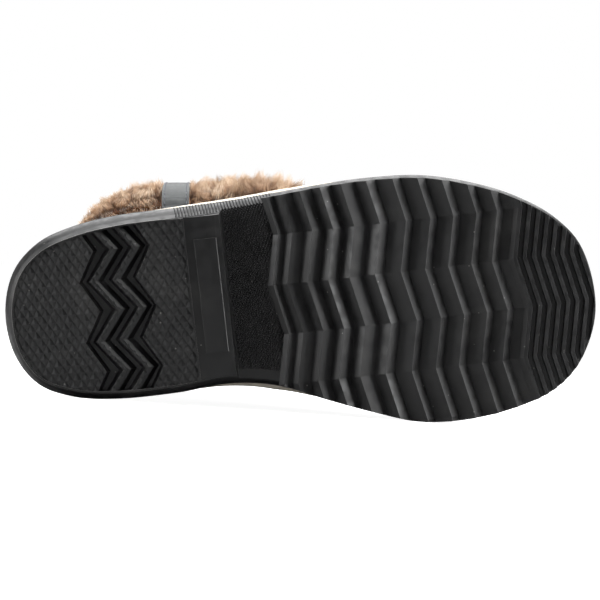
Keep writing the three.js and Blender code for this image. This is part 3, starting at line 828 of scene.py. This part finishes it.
def makeSole(outline):
    plan = treadPlan
    length = solePlan["length"]
    wide = solePlan["ballWidth"]

    def riseAt(u):
        return treadRise(*fromTread(u, 0.0))

    rings = [outlineRing(outline, inset, lambda x, y, up=up: treadRise(x, y) + up * sideHeight(x))
             for up, inset in plan["sideRows"]]
    sole = loft("rubber_sole", rings)
    breast = plan["breastStart"] * length
    land = plan["landStart"] * length
    waist = plan["waistEnd"] * length
    under = [(-90, 0), (land, 0), (land, plan["landRecess"]), (breast, plan["landRecess"])]
    bottom = breast + plan["breastRun"]
    under += [(breast + 0.75 * plan["breastRun"], plan["landRecess"] + 0.45)]
    under += [(u, riseAt(u) + plan["waistRecess"]) for u in np.linspace(bottom, waist, 9)]
    under += [(u, riseAt(u) + plan["lugDepth"]) for u in np.arange(plan["lugRows"][0][1] * length, 318, 6)]
    profile = under + [(under[-1][0], 60), (-90, 60)]
    combine(sole, acrossTread("underside", profile, -wide, wide), "INTERSECT")

    # heel: pocket, pyramids, then the channel
    inner = insetBlock("pocket", outline, plan["pocketInset"], -0.35, 0.055)
    combine(inner, acrossBox("fore", land - 0.8, 400), "DIFFERENCE")
    combine(sole, inner, "DIFFERENCE")
    pyramids = pyramidBlock("pyramids", heelField, lambda x, y: 0.02, 1.6)
    combine(pyramids, insetBlock("edge", outline, plan["knurlInset"], -0.35, 0.4), "INTERSECT")
    combine(pyramids, acrossBox("fore", land - 0.7, 400), "DIFFERENCE")
    combine(sole, pyramids, "UNION")
    rows = [(a * length, d * plan["channelDepth"], s) for a, d, s in plan["channelRows"]]
    thick = -plan["lugDepth"] - 2
    channel = zigzagBlock("channel", rows, plan["firstChannelTurn"], plan["channelSpan"], thick)
    combine(channel, insetBlock("edge", outline, plan["channelInset"], -0.35, 0.5), "INTERSECT")
    combine(sole, channel, "DIFFERENCE")

    # waist: fine diamonds between the breast and the first lug
    tips = plan["waistRecess"] - 0.7
    diamonds = pyramidBlock("diamonds", waistField, lambda x, y: treadRise(x, y) + tips, 1.4)
    combine(diamonds, insetBlock("edge", outline, plan["waistInset"], -0.35, 0.5), "INTERSECT")
    border = insetBlock("border", outline, plan["waistInset"], -0.35, 0.5)
    border.data.transform(Matrix.Translation((0, -plan["waistBorder"] * millimetre, 0)))
    combine(diamonds, border, "INTERSECT")
    combine(diamonds, acrossBox("waist", bottom + 0.6, waist + 9), "INTERSECT")
    beyond = [(waist - 0.3, -3, plan["lugSwing"]), (waist + 30, -3, plan["lugSwing"])]
    combine(diamonds, zigzagBlock("beyond", beyond, plan["firstLugTurn"], plan["lugSpan"], 9), "DIFFERENCE")
    combine(sole, diamonds, "UNION")

    # forefoot: lugs, then the ribs of the toe
    lugs = [(waist, plan["waistRecess"], plan["lugSwing"])]
    for crest, valley, depth in plan["lugRows"]:
        lugs.append((crest * length, 0, plan["lugSwing"]))
        lugs.append((valley * length, depth * plan["lugDepth"], plan["lugSwing"]))
    lugs.append((plan["lugsEnd"] * length, plan["ribDepth"], plan["lugSwing"]))
    pitch = plan["ribPitch"]
    for u in np.arange(plan["lugsEnd"] * length + pitch / 2, length + pitch, pitch):
        for step, depth in plan["ribRows"]:
            lugs.append((u + step * pitch, depth * plan["ribDepth"], plan["lugSwing"]))
    thick = plan["lugDepth"] + plan["ribDepth"]
    tread = zigzagBlock("lugs", lugs, plan["firstLugTurn"], plan["lugSpan"], thick)
    combine(tread, insetBlock("edge", outline, plan["lugOverhang"], -0.35, 0.5), "INTERSECT")
    combine(sole, tread, "UNION")

    combine(sole, makeSideRidges(outline), "UNION")
    low = plan["barPlace"] * length - plan["barWidth"] / 2
    high = low + plan["barWidth"]
    top, edge = plan["barTop"], plan["barEdge"]
    profile = [(low, 8), (low, top + edge), (low + edge, top)]
    profile += [(high - edge, top), (high, top + edge), (high, 8)]
    middle, half = plan["barMiddle"], plan["barLength"] / 2
    combine(sole, acrossTread("bar", profile, middle - half, middle + half), "UNION")
    shadeSmooth(sole, plan["shadingAngle"])
    return sole


outline = soleOutline(solePlan["sides"])
addPiece(makeSole(outline), rubber, "black_rubber", "outsole")

# Midsole: height share of its own, inset
midsolePlan = {"rows": [(0, 0.8), (0.05, 0.25), (0.15, 0), (0.42, 0), (0.46, 0.35), (0.52, 0.35), (0.56, 0),
                        (0.8, 0), (0.92, 0.35), (1, 1.2)]}


def makeMidsole(outline):
    along = np.clip(outline["x"] / solePlan["length"], 0, 1)
    rows = np.array(outlineRows)
    medial, lateral = (np.interp(along, rows[:, 0], rows[:, k]) for k in (3, 4))
    lip = solePlan["midsoleLip"] * np.where(outline["medial"], medial, lateral)
    rings = []
    for up, inset in midsolePlan["rows"]:
        lift = solePlan["seatGap"] + up * solePlan["midsoleHeight"]
        rings.append(outlineRing(outline, inset - lip, lambda x, y: treadRise(x, y) + sideHeight(x) + lift))
    midsole = loft("cream_midsole", rings)
    shadeSmooth(midsole, 40)
    return midsole


addPiece(makeMidsole(outline), cream, "cream_rubber", "midsole")

# Upper: back, front, backUp, frontUp, breadth, oval for each level of the foot and the shaft
upperRows = np.array([
    (0.025, 0.978, 0.0, 0.0, 1.0, 0.0),
    (0.014, 0.988, 0.07, 0.09, 1.03, 0.0),
    (0.01, 0.984, 0.16, 0.22, 1.03, 0.0),
    (0.01, 0.96, 0.27, 0.34, 0.99, 0.0),
    (0.012, 0.918, 0.37, 0.43, 0.94, 0.05),
    (0.015, 0.862, 0.47, 0.49, 0.88, 0.12),
    (0.019, 0.79, 0.58, 0.56, 0.83, 0.22),
    (0.024, 0.715, 0.69, 0.66, 0.8, 0.36),
    (0.03, 0.64, 0.81, 0.79, 0.8, 0.55),
    (0.038, 0.592, 0.95, 0.95, 0.82, 0.75),
    (0.048, 0.57, 1.12, 1.14, 0.86, 0.9),
    (0.07, 0.561, 1.38, 1.38, 0.9, 1.0),
    (0.098, 0.57, 2.0, 2.0, 0.9, 1.0),
])
upperPlan = {
    "wall": 3.0,
    "featherInset": 5.0,
    "instepHeight": 95.0,
    "collarHeight": 185.0,
    "shaftWidth": 84.0,
    "squareness": 3.0,
    "heelSlim": 0.09,
    "slimStart": (0.1, 1.6),
    "slimEnd": (11.2, 11.9),
    "slimFade": (85, 130),
    "footDrop": 1.2,
    "sides": 300,
    "levels": 96,
    "panelRaise": 0.8,
    "panelSoft": 0.9,
    "creaseBend": 3.0,
    "ridgePlace": 1.9,
    "ridgeShare": 0.45,
    # creases in the side view: from x, z to x, z, depth, half width, then shares, medial and lateral
    "creases": [
        ((96, 118), (138, 104), 2.2, 5.0, 1.0, 1.0),
        ((84, 106), (150, 92), 1.6, 4.5, 0.7, 1.0),
        ((30, 112), (72, 104), 1.8, 5.5, 1.0, 0.8),
        ((22, 92), (60, 82), 1.2, 5.0, 0.8, 1.0),
        ((104, 134), (142, 128), 1.3, 5.0, 1.0, 0.6),
        ((34, 138), (92, 146), 1.1, 7.0, 0.6, 1.0),
        ((170, 66), (206, 50), 1.3, 4.5, 1.0, 1.0),
        ((184, 74), (196, 46), 0.9, 4.0, 0.5, 1.0),
        ((150, 84), (186, 70), 1.2, 4.5, 1.0, 0.8),
    ],
}


def upperRing(around, level):
    plan = upperPlan
    back, front, backUp, frontUp, breadth, oval = rowBetween(upperRows, level)
    heel, length = around["x"].min(), around["x"].max() - around["x"].min()
    share = (around["x"] - heel) / length
    x = solePlan["length"] * mix(back, front, share)
    bow = np.maximum(0, 1 - np.abs(2 * share - 1) ** plan["squareness"]) ** (1 / plan["squareness"])
    side = np.where(around["medial"], 1, -1)
    y = mix(breadth * around["y"], side * bow * plan["shaftWidth"] / 2, oval)
    slim = plan["heelSlim"] * smoothStep(level, *plan["slimStart"]) * (1 - smoothStep(level, *plan["slimEnd"]))
    y = y * (1 - slim * (1 - smoothStep(x, *plan["slimFade"])))
    step = mix(backUp, frontUp, share)
    lower = np.minimum(step, 1) * plan["instepHeight"]
    climb = lower + np.maximum(step - 1, 0) * (plan["collarHeight"] - plan["instepHeight"])
    seat = mix(featherHeight(x, y), featherHeight(0, 0), smoothStep(step, 0, 1))
    return np.stack([x, y, seat + climb], axis=1)


def insetOutline(count, inset):
    around = soleOutline(count)
    around["x"] = around["x"] - inset * around["nx"]
    around["y"] = around["y"] - inset * around["ny"]
    return around


# Levels spread evenly over the height
def evenLevels(around, count):
    fine = np.linspace(0, len(upperRows) - 1, 240)
    rings = np.array([upperRing(around, level) for level in fine])
    steps = np.linalg.norm(np.diff(rings, axis=0), axis=2).mean(axis=1)
    reach = np.concatenate([[0], np.cumsum(steps)])
    return np.interp(np.linspace(0, reach[-1], count), reach, fine)


def gridNormals(grid):
    around = np.roll(grid, -1, axis=1) - np.roll(grid, 1, axis=1)
    upward = np.gradient(grid, axis=0)
    normal = np.cross(upward, around)
    return normal / np.maximum(np.linalg.norm(normal, axis=2), 1e-9)[:, :, None]


# Soft troughs with a low ridge on each side, drawn in the side view
def creaseDepth(points):
    x, z = points[..., 0], points[..., 2]
    depth = np.zeros_like(x)
    for start, end, deep, wide, onMedial, onLateral in upperPlan["creases"]:
        start, end = np.array(start, float), np.array(end, float)
        run = end - start
        share = ((x - start[0]) * run[0] + (z - start[1]) * run[1]) / (run @ run)
        bend = upperPlan["creaseBend"] * np.sin(np.pi * np.clip(share, 0, 1))
        off = ((x - start[0]) * run[1] - (z - start[1]) * run[0]) / np.linalg.norm(run) + bend
        fade = smoothStep(share, -0.25, 0.2) * (1 - smoothStep(share, 0.8, 1.25))
        side = np.where(points[..., 1] > 0, onMedial, onLateral)
        trough = np.exp(-(off / wide) ** 2)
        ridge = np.exp(-((np.abs(off) - upperPlan["ridgePlace"] * wide) / wide) ** 2)
        depth += deep * fade * side * (trough - upperPlan["ridgeShare"] * ridge)
    return depth


# Lines on the upper: share round from the heel by the medial side, and level
seamPlan = {
    "vamp": [(0.0, 7.4), (0.08, 7.3), (0.17, 7.0), (0.25, 6.2), (0.31, 5.6), (0.37, 5.9), (0.43, 7.1),
             (0.5, 8.0), (0.57, 7.1), (0.63, 5.9), (0.69, 5.6), (0.75, 6.2), (0.83, 7.0), (0.92, 7.3),
             (1.0, 7.4)],
    "guard": [(0.0, 2.6), (0.12, 2.4), (0.25, 1.9), (0.38, 1.9), (0.5, 2.7), (0.62, 1.9), (0.75, 1.9),
              (0.88, 2.4), (1.0, 2.6)],
    "backStay": 9.0,
    "stitchPitch": 2.8,
    "stitchLength": 2.0,
    "stitchRadius": 0.32,
    "edgeGap": 1.6,
    "rowGap": 2.4,
    "stayGap": 1.7,
    "stayLevels": (2.9, 10.3),
}


def seamLevel(line, share):
    return np.interp(share, [p[0] for p in line], [p[1] for p in line])


def softLevel(line, share):
    return sum(seamLevel(line, (share + k * 0.012) % 1.0) for k in range(-2, 3)) / 5


def makeUpper():
    plan = upperPlan
    around = insetOutline(plan["sides"], plan["featherInset"])
    levels = evenLevels(around, plan["levels"])
    grid = np.array([upperRing(around, level) for level in levels])
    grid[0, :, 2] -= plan["footDrop"]
    normal = gridNormals(grid)
    shares = np.arange(plan["sides"]) / plan["sides"]
    perLevel = np.linalg.norm(np.gradient(grid, axis=0), axis=2) / np.gradient(levels)[:, None]
    raised = np.zeros(grid.shape[:2])
    soft = plan["panelSoft"]
    for line in ("vamp", "guard"):
        below = (softLevel(seamPlan[line], shares)[None, :] - levels[:, None]) * perLevel
        raised += plan["panelRaise"] * smoothStep(below, -soft, soft)
    stay = seamPlan["backStay"] - np.abs(grid[:, :, 1])
    heelSide = (grid[:, :, 0] < 60) & (levels[:, None] > 2)
    stayRaise = plan["panelRaise"] * smoothStep(stay, -soft, soft)
    raised = np.maximum(raised, np.where(heelSide, stayRaise, 0) + 0.4 * raised)
    fade = smoothStep(levels, 0.0, 1.0)[:, None] * (1 - smoothStep(levels, 10.6, 11.4))[:, None]
    push = fade * (raised - creaseDepth(grid)) - 0.5 * fade
    outer = grid + push[:, :, None] * normal
    inner = grid - (plan["wall"] + 0.2 * fade)[:, :, None] * normal
    inner[0, :, 2] = grid[0, :, 2]
    inner[-1, :, 2] = grid[-1, :, 2]
    rings = np.concatenate([outer, inner[::-1]])
    upper = loft("suede_upper", list(rings), capped=False)
    count = plan["sides"]
    lining = np.zeros(len(upper.data.polygons), int)
    lining[plan["levels"] * count:] = 1
    upper.data.materials.append(suede)
    upper.data.materials.append(felt)
    upper.data.polygons.foreach_set("material_index", lining)
    shadeSmooth(upper, 60)
    return upper, outer, normal, levels


def surfacePoint(grid, shares, levels, row):
    column = (shares % 1.0) * grid.shape[1]
    i = int(column) % grid.shape[1]
    k = (i + 1) % grid.shape[1]
    across = column - int(column)
    at = float(np.interp(row, levels, np.arange(len(levels))))
    r = min(int(at), len(levels) - 2)
    up = at - r
    low = mix(grid[r, i], grid[r, k], across)
    high = mix(grid[r + 1, i], grid[r + 1, k], across)
    return mix(low, high, up)


# Joined stitches along a row of points with outward directions
def makeStitches(name, rows):
    plan = seamPlan
    points, faces = [], []
    for row in rows:
        place = np.array([p for p, n in row])
        steps = np.linalg.norm(np.diff(place, axis=0), axis=1)
        reach = np.concatenate([[0], np.cumsum(steps)])
        for start in np.arange(0.5, reach[-1] - plan["stitchLength"], plan["stitchPitch"]):
            spots = start + np.linspace(0, plan["stitchLength"], 5)
            line = np.stack([np.interp(spots, reach, place[:, k]) for k in range(3)], axis=1)
            out = row[int(np.searchsorted(reach, start)) % len(row)][1]
            along = line[-1] - line[0]
            along /= np.linalg.norm(along)
            side = np.cross(out, along)
            base = len(points)
            for at, swell, lift in zip(line, (0.45, 0.95, 1.0, 0.95, 0.45), (-0.25, 0.1, 0.2, 0.1, -0.25)):
                for k in range(6):
                    turn = math.tau * k / 6
                    away = math.cos(turn) * side + math.sin(turn) * out
                    points.append(at + lift * out + plan["stitchRadius"] * swell * away)
            for ring in range(4):
                faces += bandFaces(base + 6 * ring, base + 6 * ring + 6, 6)
            faces.append(tuple(base + k for k in reversed(range(6))))
            faces.append(tuple(base + 24 + k for k in range(6)))
    made = facingOut(newObject(name, points, faces))
    shadeSmooth(made, 60)
    return made


upper, upperGrid, upperNormals, upperLevels = makeUpper()
addPiece(upper, [suede, felt], "grey_suede", "upper")


def upperSeamRows():
    rows = []
    shares = np.linspace(0, 1, 420)
    for line in ("vamp", "guard"):
        for gap in (seamPlan["edgeGap"], seamPlan["edgeGap"] + seamPlan["rowGap"]):
            row = []
            for share in shares:
                level = float(softLevel(seamPlan[line], share))
                here = surfacePoint(upperGrid, share, upperLevels, level)
                above = surfacePoint(upperGrid, share, upperLevels, level + 0.1)
                perLevel = np.linalg.norm(above - here) / 0.1
                at = level - gap / max(perLevel, 1e-6)
                row.append((surfacePoint(upperGrid, share, upperLevels, at),
                            surfacePoint(upperNormals, share, upperLevels, at)))
            rows.append(row)
    heights = np.linspace(*seamPlan["stayLevels"], 160)
    stayLine = seamPlan["backStay"] - seamPlan["stayGap"]
    for side in (1, -1):
        row = []
        for level in heights:
            trial = np.linspace(0.001, 0.06, 60)
            spots = [surfacePoint(upperGrid, side * share, upperLevels, level) for share in trial]
            best = int(np.argmin([abs(abs(p[1]) - stayLine) for p in spots]))
            share = side * trial[best]
            row.append((spots[best], surfacePoint(upperNormals, share, upperLevels, level)))
        rows.append(row)
    return rows


thread = sewingThread("thread_pale", threadFinish["pale"])
stitches = makeStitches("upper_stitches", upperSeamRows())
addPiece(stitches, thread, "grey_suede")

# Insole: felt footbed with a soft rounded edge; rows of height share and inset
insolePlan = {
    "height": 5.0,
    "gap": 0.3,
    "lift": 0.35,
    "sides": 200,
    "rows": [(0.0, 0.6), (0.06, 0.1), (0.5, 0.0), (0.8, 0.3), (0.95, 1.0), (1.0, 2.2), (0.93, 8.0),
             (0.86, 16.0)],
}


def makeInsole():
    around = insetOutline(insolePlan["sides"], upperPlan["featherInset"])
    ring = upperRing(around, 0.0)
    inset = upperPlan["wall"] + solePlan["seatGap"] + insolePlan["gap"]
    rings = []
    for up, extra in insolePlan["rows"]:
        x = ring[:, 0] - (inset + extra) * around["nx"]
        y = ring[:, 1] - (inset + extra) * around["ny"]
        z = featherHeight(x, y) + insolePlan["lift"] + up * (insolePlan["height"] - 0.4)
        rings.append(np.stack([x, y, z], axis=1))
    insole = loft("felt_insole", rings)
    shadeSmooth(insole, 50)
    return insole


addPiece(makeInsole(), felt, "felt", "insole")

# Fur cuff: its backing follows the collar, and strands stand on it in clumps
cuffPlan = {
    "furDepth": 9.0,
    "cuffDepth": 46.0,
    "sides": 150,
    "strandPieces": 4,
    "strandsEach": 18500,
    "clumps": 800,
    "strandLength": (8.0, 13.0),
    "strandWidth": 0.11,
    "pull": 0.72,
    "reachAlong": (15, 35, 60, 85, 112, 140, 160),
    "reach": (0.35, 0.6, 0.7, 0.6, 1.0, 0.95, 0.8),
    "backThickness": 0.35,
    "seed": 7,
    "floorGap": 0.0003,
    "medialReach": 0.45,
    "insideShare": 0.5,
    "clumpLean": (0.12, 0, -0.42),
    "clumpSpread": 0.42,
    "clumpReach": (0.8, 1.15),
    "clumpShare": 0.45,
    "strandSpread": 0.14,
    "clumpTone": 0.6,
    "widthSpread": (0.7, 1.3),
    "strapGap": 0.4,
    "strapTip": 1.2,
}

# once round the section: out from the shaft's face, drop below the collar
cuffRows = [(0.3, 46.0), (3.0, 46.6), (5.2, 42.0), (5.9, 34.0), (6.0, 23.0), (5.8, 12.0), (5.2, 2.0),
            (3.0, -5.0), (-1.5, -7.6), (-6.0, -5.0), (-8.4, 1.0), (-8.4, 9.0), (-6.8, 15.0), (-3.3, 15.2),
            (-3.3, -0.3), (0.3, -0.3)]


# Point beside the collar: out from the face and down along the shaft
def collarPoints(rings, out, drop):
    top, below = rings[1], rings[0]
    share = max(0.0, drop) / (top[:, 2] - below[:, 2])
    point = mix(top, below, share[:, None])
    point[:, 2] = top[:, 2] - drop
    around = np.roll(top, -1, axis=0) - np.roll(top, 1, axis=0)
    outward = np.stack([-around[:, 1], around[:, 0], np.zeros(len(top))], axis=1)
    outward /= np.linalg.norm(outward, axis=1)[:, None]
    return point + out * outward


def collarRings(count):
    around = insetOutline(count, upperPlan["featherInset"])
    last = len(upperRows) - 1
    return [upperRing(around, last - 1), upperRing(around, last)]


# Strap: rows give the distance out as a share of the fur and the drop as a share of the cuff; the tail under
# the cuff gives the drop below it and the distance in from the widest part of the shaft
strapPlan = {
    "rows": [(0.4, 1.06), (0.82, 0.86), (0.92, 0.5), (0.86, 0.12), (0.5, -0.2), (-0.15, -0.26),
             (-0.8, -0.16), (-1.05, 0.06), (-1.08, 0.24)],
    "tail": ((20.7, 5.0), (12.6, 4.0), (5.0, 4.0)),
    "width": 14.0,
    "thickness": 1.8,
    "place": 0.272,
    "hem": 1.5,
}


def strapLine(steps):
    plan = strapPlan
    collar = featherHeight(0.0, 0.0) + upperPlan["collarHeight"]
    face = -upperPlan["shaftWidth"] / 2
    seat = 1.5 * solePlan["seatGap"] + plan["thickness"] / 2
    knots = [(face - seat + inset, collar - cuffPlan["cuffDepth"] - drop) for drop, inset in plan["tail"]]
    for out, drop in plan["rows"]:
        away = out * cuffPlan["furDepth"] + np.sign(out) * seat / 2
        knots.append((face - away, collar - drop * cuffPlan["cuffDepth"]))
    knots = np.array(knots)
    return np.array([rowBetween(knots, at) for at in np.linspace(0, len(knots) - 1, steps)])


def makeStrap():
    plan = strapPlan
    line = strapLine(90)
    tangent = np.gradient(line, axis=0)
    tangent /= np.linalg.norm(tangent, axis=1)[:, None]
    normal = np.stack([-tangent[:, 1], tangent[:, 0]], axis=1)
    half, thick, hem = plan["width"] / 2, plan["thickness"] / 2, plan["hem"]
    # section: across, and out as a share of half the thickness
    edge = [(0, 0), (0.15, 0.6), (0.5, 0.95), (hem - 0.35, 1.0), (hem, 0.55), (hem + 0.35, 0.9)]
    section = [(x - half, share) for x, share in edge] + [(0, 1.0)]
    section += [(half - x, share) for x, share in edge[::-1]]
    ring = section + [(x, -share) for x, share in section[-2:0:-1]]
    middle = plan["place"] * solePlan["length"]
    rings = []
    for spot, out in zip(line, normal):
        rings.append([(middle + x, spot[0] + share * thick * out[0], spot[1] + share * thick * out[1])
                      for x, share in ring])
    count = len(ring)
    points = np.vstack(rings)
    faces = []
    for r in range(len(rings) - 1):
        faces += bandFaces(r * count, (r + 1) * count, count)
    faces += [tuple(reversed(range(count))), tuple((len(rings) - 1) * count + i for i in range(count))]
    strap = facingOut(newObject("woven_strap", points, faces))
    shadeSmooth(strap, 50)
    return strap


def strapStitchRows():
    plan = strapPlan
    line = strapLine(200)[2:150]
    tangent = np.gradient(line, axis=0)
    tangent /= np.linalg.norm(tangent, axis=1)[:, None]
    rows = []
    for side in (1, -1):
        x = plan["place"] * solePlan["length"] + side * (plan["width"] / 2 - plan["hem"])
        row = []
        for spot, way in zip(line, tangent):
            out = np.array((0, -way[1], way[0]))
            if out[1] > 0 and abs(way[1]) > 0.5:
                out = -out
            face = np.array((x, spot[0], spot[1])) + out * plan["thickness"] * 0.36
            row.append((face, out))
        rows.append(row)
    return rows


addPiece(makeStrap(), webbing, "grey_webbing", "pull_strap")


# Strands as joined slim spikes of ten triangles, bent once, with tone and height kept on their points
def makeStrands(name, roots, ways, bends, lengths, widths, tones):
    count = len(roots)
    spin = np.cross(ways, np.array((0.31, 0.87, 0.4)))
    spin /= np.linalg.norm(spin, axis=1)[:, None]
    other = np.cross(ways, spin)
    middle = roots + ways * (0.5 * lengths)[:, None]
    tip = middle + bends * (0.5 * lengths)[:, None]
    points = np.zeros((count, 7, 3))
    for k in range(3):
        turn = math.tau * k / 3
        away = (math.cos(turn) * spin + math.sin(turn) * other) * widths[:, None]
        points[:, k] = roots + away
        points[:, 3 + k] = middle + 0.75 * away
    points[:, 6] = tip
    pattern = [(0, 2, 1)]
    for k in range(3):
        n = (k + 1) % 3
        pattern += [(k, n, 3 + n), (k, 3 + n, 3 + k), (3 + k, 3 + n, 6)]
    faces = (np.array(pattern)[None] + 7 * np.arange(count)[:, None, None]).reshape(-1, 3)
    made = newObject(name, points.reshape(-1, 3), faces.tolist())
    for label, values in (("tone", np.repeat(tones, 7)),
                          ("heightShare", np.tile([0, 0, 0, 0.5, 0.5, 0.5, 1.0], count))):
        layer = made.data.attributes.new(label, "FLOAT", "POINT")
        layer.data.foreach_set("value", values.astype(np.float32))
    for face in made.data.polygons:
        face.use_smooth = True
    return made


# The boot lies on this fur, so what would reach into the floor is pressed flat on it
def pressOnFloor(made):
    spots = np.empty(3 * len(made.data.vertices), np.float32)
    made.data.vertices.foreach_get("co", spots)
    spots[2::3] = np.maximum(spots[2::3], cuffPlan["floorGap"])
    made.data.vertices.foreach_set("co", spots)
    made.data.update()


# Length of the fur round the cuff: short at the heel and where it lies, longest at the front
def reachAround(points):
    reach = np.interp(points[:, 0], cuffPlan["reachAlong"], cuffPlan["reach"])
    return np.where(points[:, 1] > 15, np.minimum(reach, cuffPlan["medialReach"]), reach)


def makeFur():
    plan = cuffPlan
    rings = collarRings(plan["sides"])
    sections = np.array([collarPoints(rings, out, drop) for out, drop in cuffRows])
    flat = np.array([collarPoints(rings, min(out, 0.3), drop) for out, drop in cuffRows])
    full = mix(plan["backThickness"], 1, smoothStep(flat[:, :, 0], 28, 52))
    sections = mix(flat, sections, full[:, :, None])
    random = np.random.default_rng(plan["seed"])
    body = loft("fur_backing", list(sections), capped=False)
    shadeSmooth(body, 60)
    addPiece(body, backing, "tan_fur", "fur_cuff")

    # the hairy faces run from the lower hem over the collar to the inside lining
    hairy = sections[0:14]
    low, high = hairy[:-1], hairy[1:]
    nextLow, nextHigh = np.roll(low, -1, axis=1), np.roll(high, -1, axis=1)
    normal = np.cross(high - low, nextLow - low)
    area = np.linalg.norm(normal, axis=2)
    normal /= np.maximum(area, 1e-9)[:, :, None]
    area[9:] *= plan["insideShare"]
    chance = (area / area.sum()).ravel()

    def scatter(number):
        cell = random.choice(len(chance), number, p=chance)
        r, i = np.unravel_index(cell, area.shape)
        s, t = random.random((2, number, 1))
        lower = mix(low[r, i], nextLow[r, i], s)
        upperEdge = mix(high[r, i], nextHigh[r, i], s)
        return mix(lower, upperEdge, t), normal[r, i]

    clumpPlace, clumpOut = scatter(plan["clumps"])
    lean = random.normal(0, plan["clumpSpread"], (plan["clumps"], 3)) + np.array(plan["clumpLean"])
    clumpWay = clumpOut + lean
    clumpWay /= np.linalg.norm(clumpWay, axis=1)[:, None]
    clumpTone = random.random(plan["clumps"])
    clumpReach = reachAround(clumpPlace) * random.uniform(*plan["clumpReach"], plan["clumps"])
    tree = KDTree(plan["clumps"])
    for k, spot in enumerate(clumpPlace):
        tree.insert(spot, k)
    tree.balance()
    middle = strapPlan["place"] * solePlan["length"]
    clear = strapPlan["width"] / 2 + plan["strapGap"]
    toneShare = plan["clumpTone"]
    for piece in range(plan["strandPieces"]):
        roots, out = scatter(plan["strandsEach"])
        near = np.array([tree.find(spot)[1] for spot in roots])
        lengths = random.uniform(*plan["strandLength"], len(roots)) * clumpReach[near]
        way = out + plan["clumpShare"] * clumpWay[near] + random.normal(0, plan["strandSpread"], roots.shape)
        way /= np.linalg.norm(way, axis=1)[:, None]
        target = clumpPlace[near] + clumpWay[near] * lengths[:, None]
        middlePoint = roots + way * (0.5 * lengths)[:, None]
        bend = mix(way, (target - middlePoint) / (0.5 * lengths)[:, None], plan["pull"])
        bend /= np.linalg.norm(bend, axis=1)[:, None]
        tip = middlePoint + bend * (0.5 * lengths)[:, None]
        # strands under the strap are left out
        under = (np.abs(roots[:, 0] - middle) < clear) & (roots[:, 1] < -20)
        across = (np.abs(tip[:, 0] - middle) < clear - plan["strapTip"]) & (tip[:, 1] < -20)
        keep = ~(under | across)
        tones = toneShare * clumpTone[near] + (1 - toneShare) * random.random(len(roots))
        widths = plan["strandWidth"] * random.uniform(*plan["widthSpread"], len(roots))
        strands = makeStrands(f"fur_strands_{piece + 1}", roots[keep], way[keep], bend[keep], lengths[keep],
                              widths[keep], tones[keep])
        pressOnFloor(addPiece(strands, fur, "tan_fur", "fur_cuff"))


makeFur()
darkThread = sewingThread("thread_dark", threadFinish["dark"])
addPiece(makeStitches("strap_stitches", strapStitchRows()), darkThread, "grey_webbing")

# Floor: half its size in metres; its greys, then what it gives back as light and what the camera sees of it
floorPlan = {"half": 12.0, "grainScale": 9.0, "greys": (0.8, 0.83), "bounce": 0.3, "glow": 0.94}


def grey(value):
    return (value, value, value, 1)


def makeFloor():
    size = floorPlan["half"]
    mesh = bpy.data.meshes.new("floor")
    corners = [(-size, -size, 0), (size, -size, 0), (size, size, 0), (-size, size, 0)]
    mesh.from_pydata(corners, [], [(0, 1, 2, 3)])
    made = bpy.data.objects.new("floor", mesh)
    bpy.context.scene.collection.objects.link(made)
    material, tree, shader = newMaterial("floor_white", 0.9)
    inputs = {"Vector": addPlace(tree), "Scale": floorPlan["grainScale"]}
    grain = addNode(tree, "ShaderNodeTexNoise", inputs)
    base = addBlend(tree, grain.outputs[0], *(grey(value) for value in floorPlan["greys"]))
    seen = addNode(tree, "ShaderNodeLightPath").outputs["Is Camera Ray"]
    base = addBlend(tree, seen, grey(floorPlan["bounce"]), base)
    tree.links.new(base, shader.inputs["Base Color"])
    shader.inputs["Emission Color"].default_value = grey(1)
    glow = addMath(tree, "MULTIPLY", seen, floorPlan["glow"])
    tree.links.new(glow, shader.inputs["Emission Strength"])
    made.data.materials.append(material)


makeFloor()


# Studio air: white behind the boot, dimmer as a light
airPlan = {"light": 0.1, "seen": 1.0}


def makeWorld():
    world = bpy.data.worlds.new("studio")
    bpy.context.scene.world = world
    world.use_nodes = True
    tree = world.node_tree
    seen = addNode(tree, "ShaderNodeLightPath").outputs["Is Camera Ray"]
    background = tree.nodes["Background"]
    background.inputs["Color"].default_value = grey(1)
    strength = addRamp(tree, seen, 0, 1, airPlan["light"], airPlan["seen"])
    tree.links.new(strength, background.inputs["Strength"])


makeWorld()
print("floor and air made")
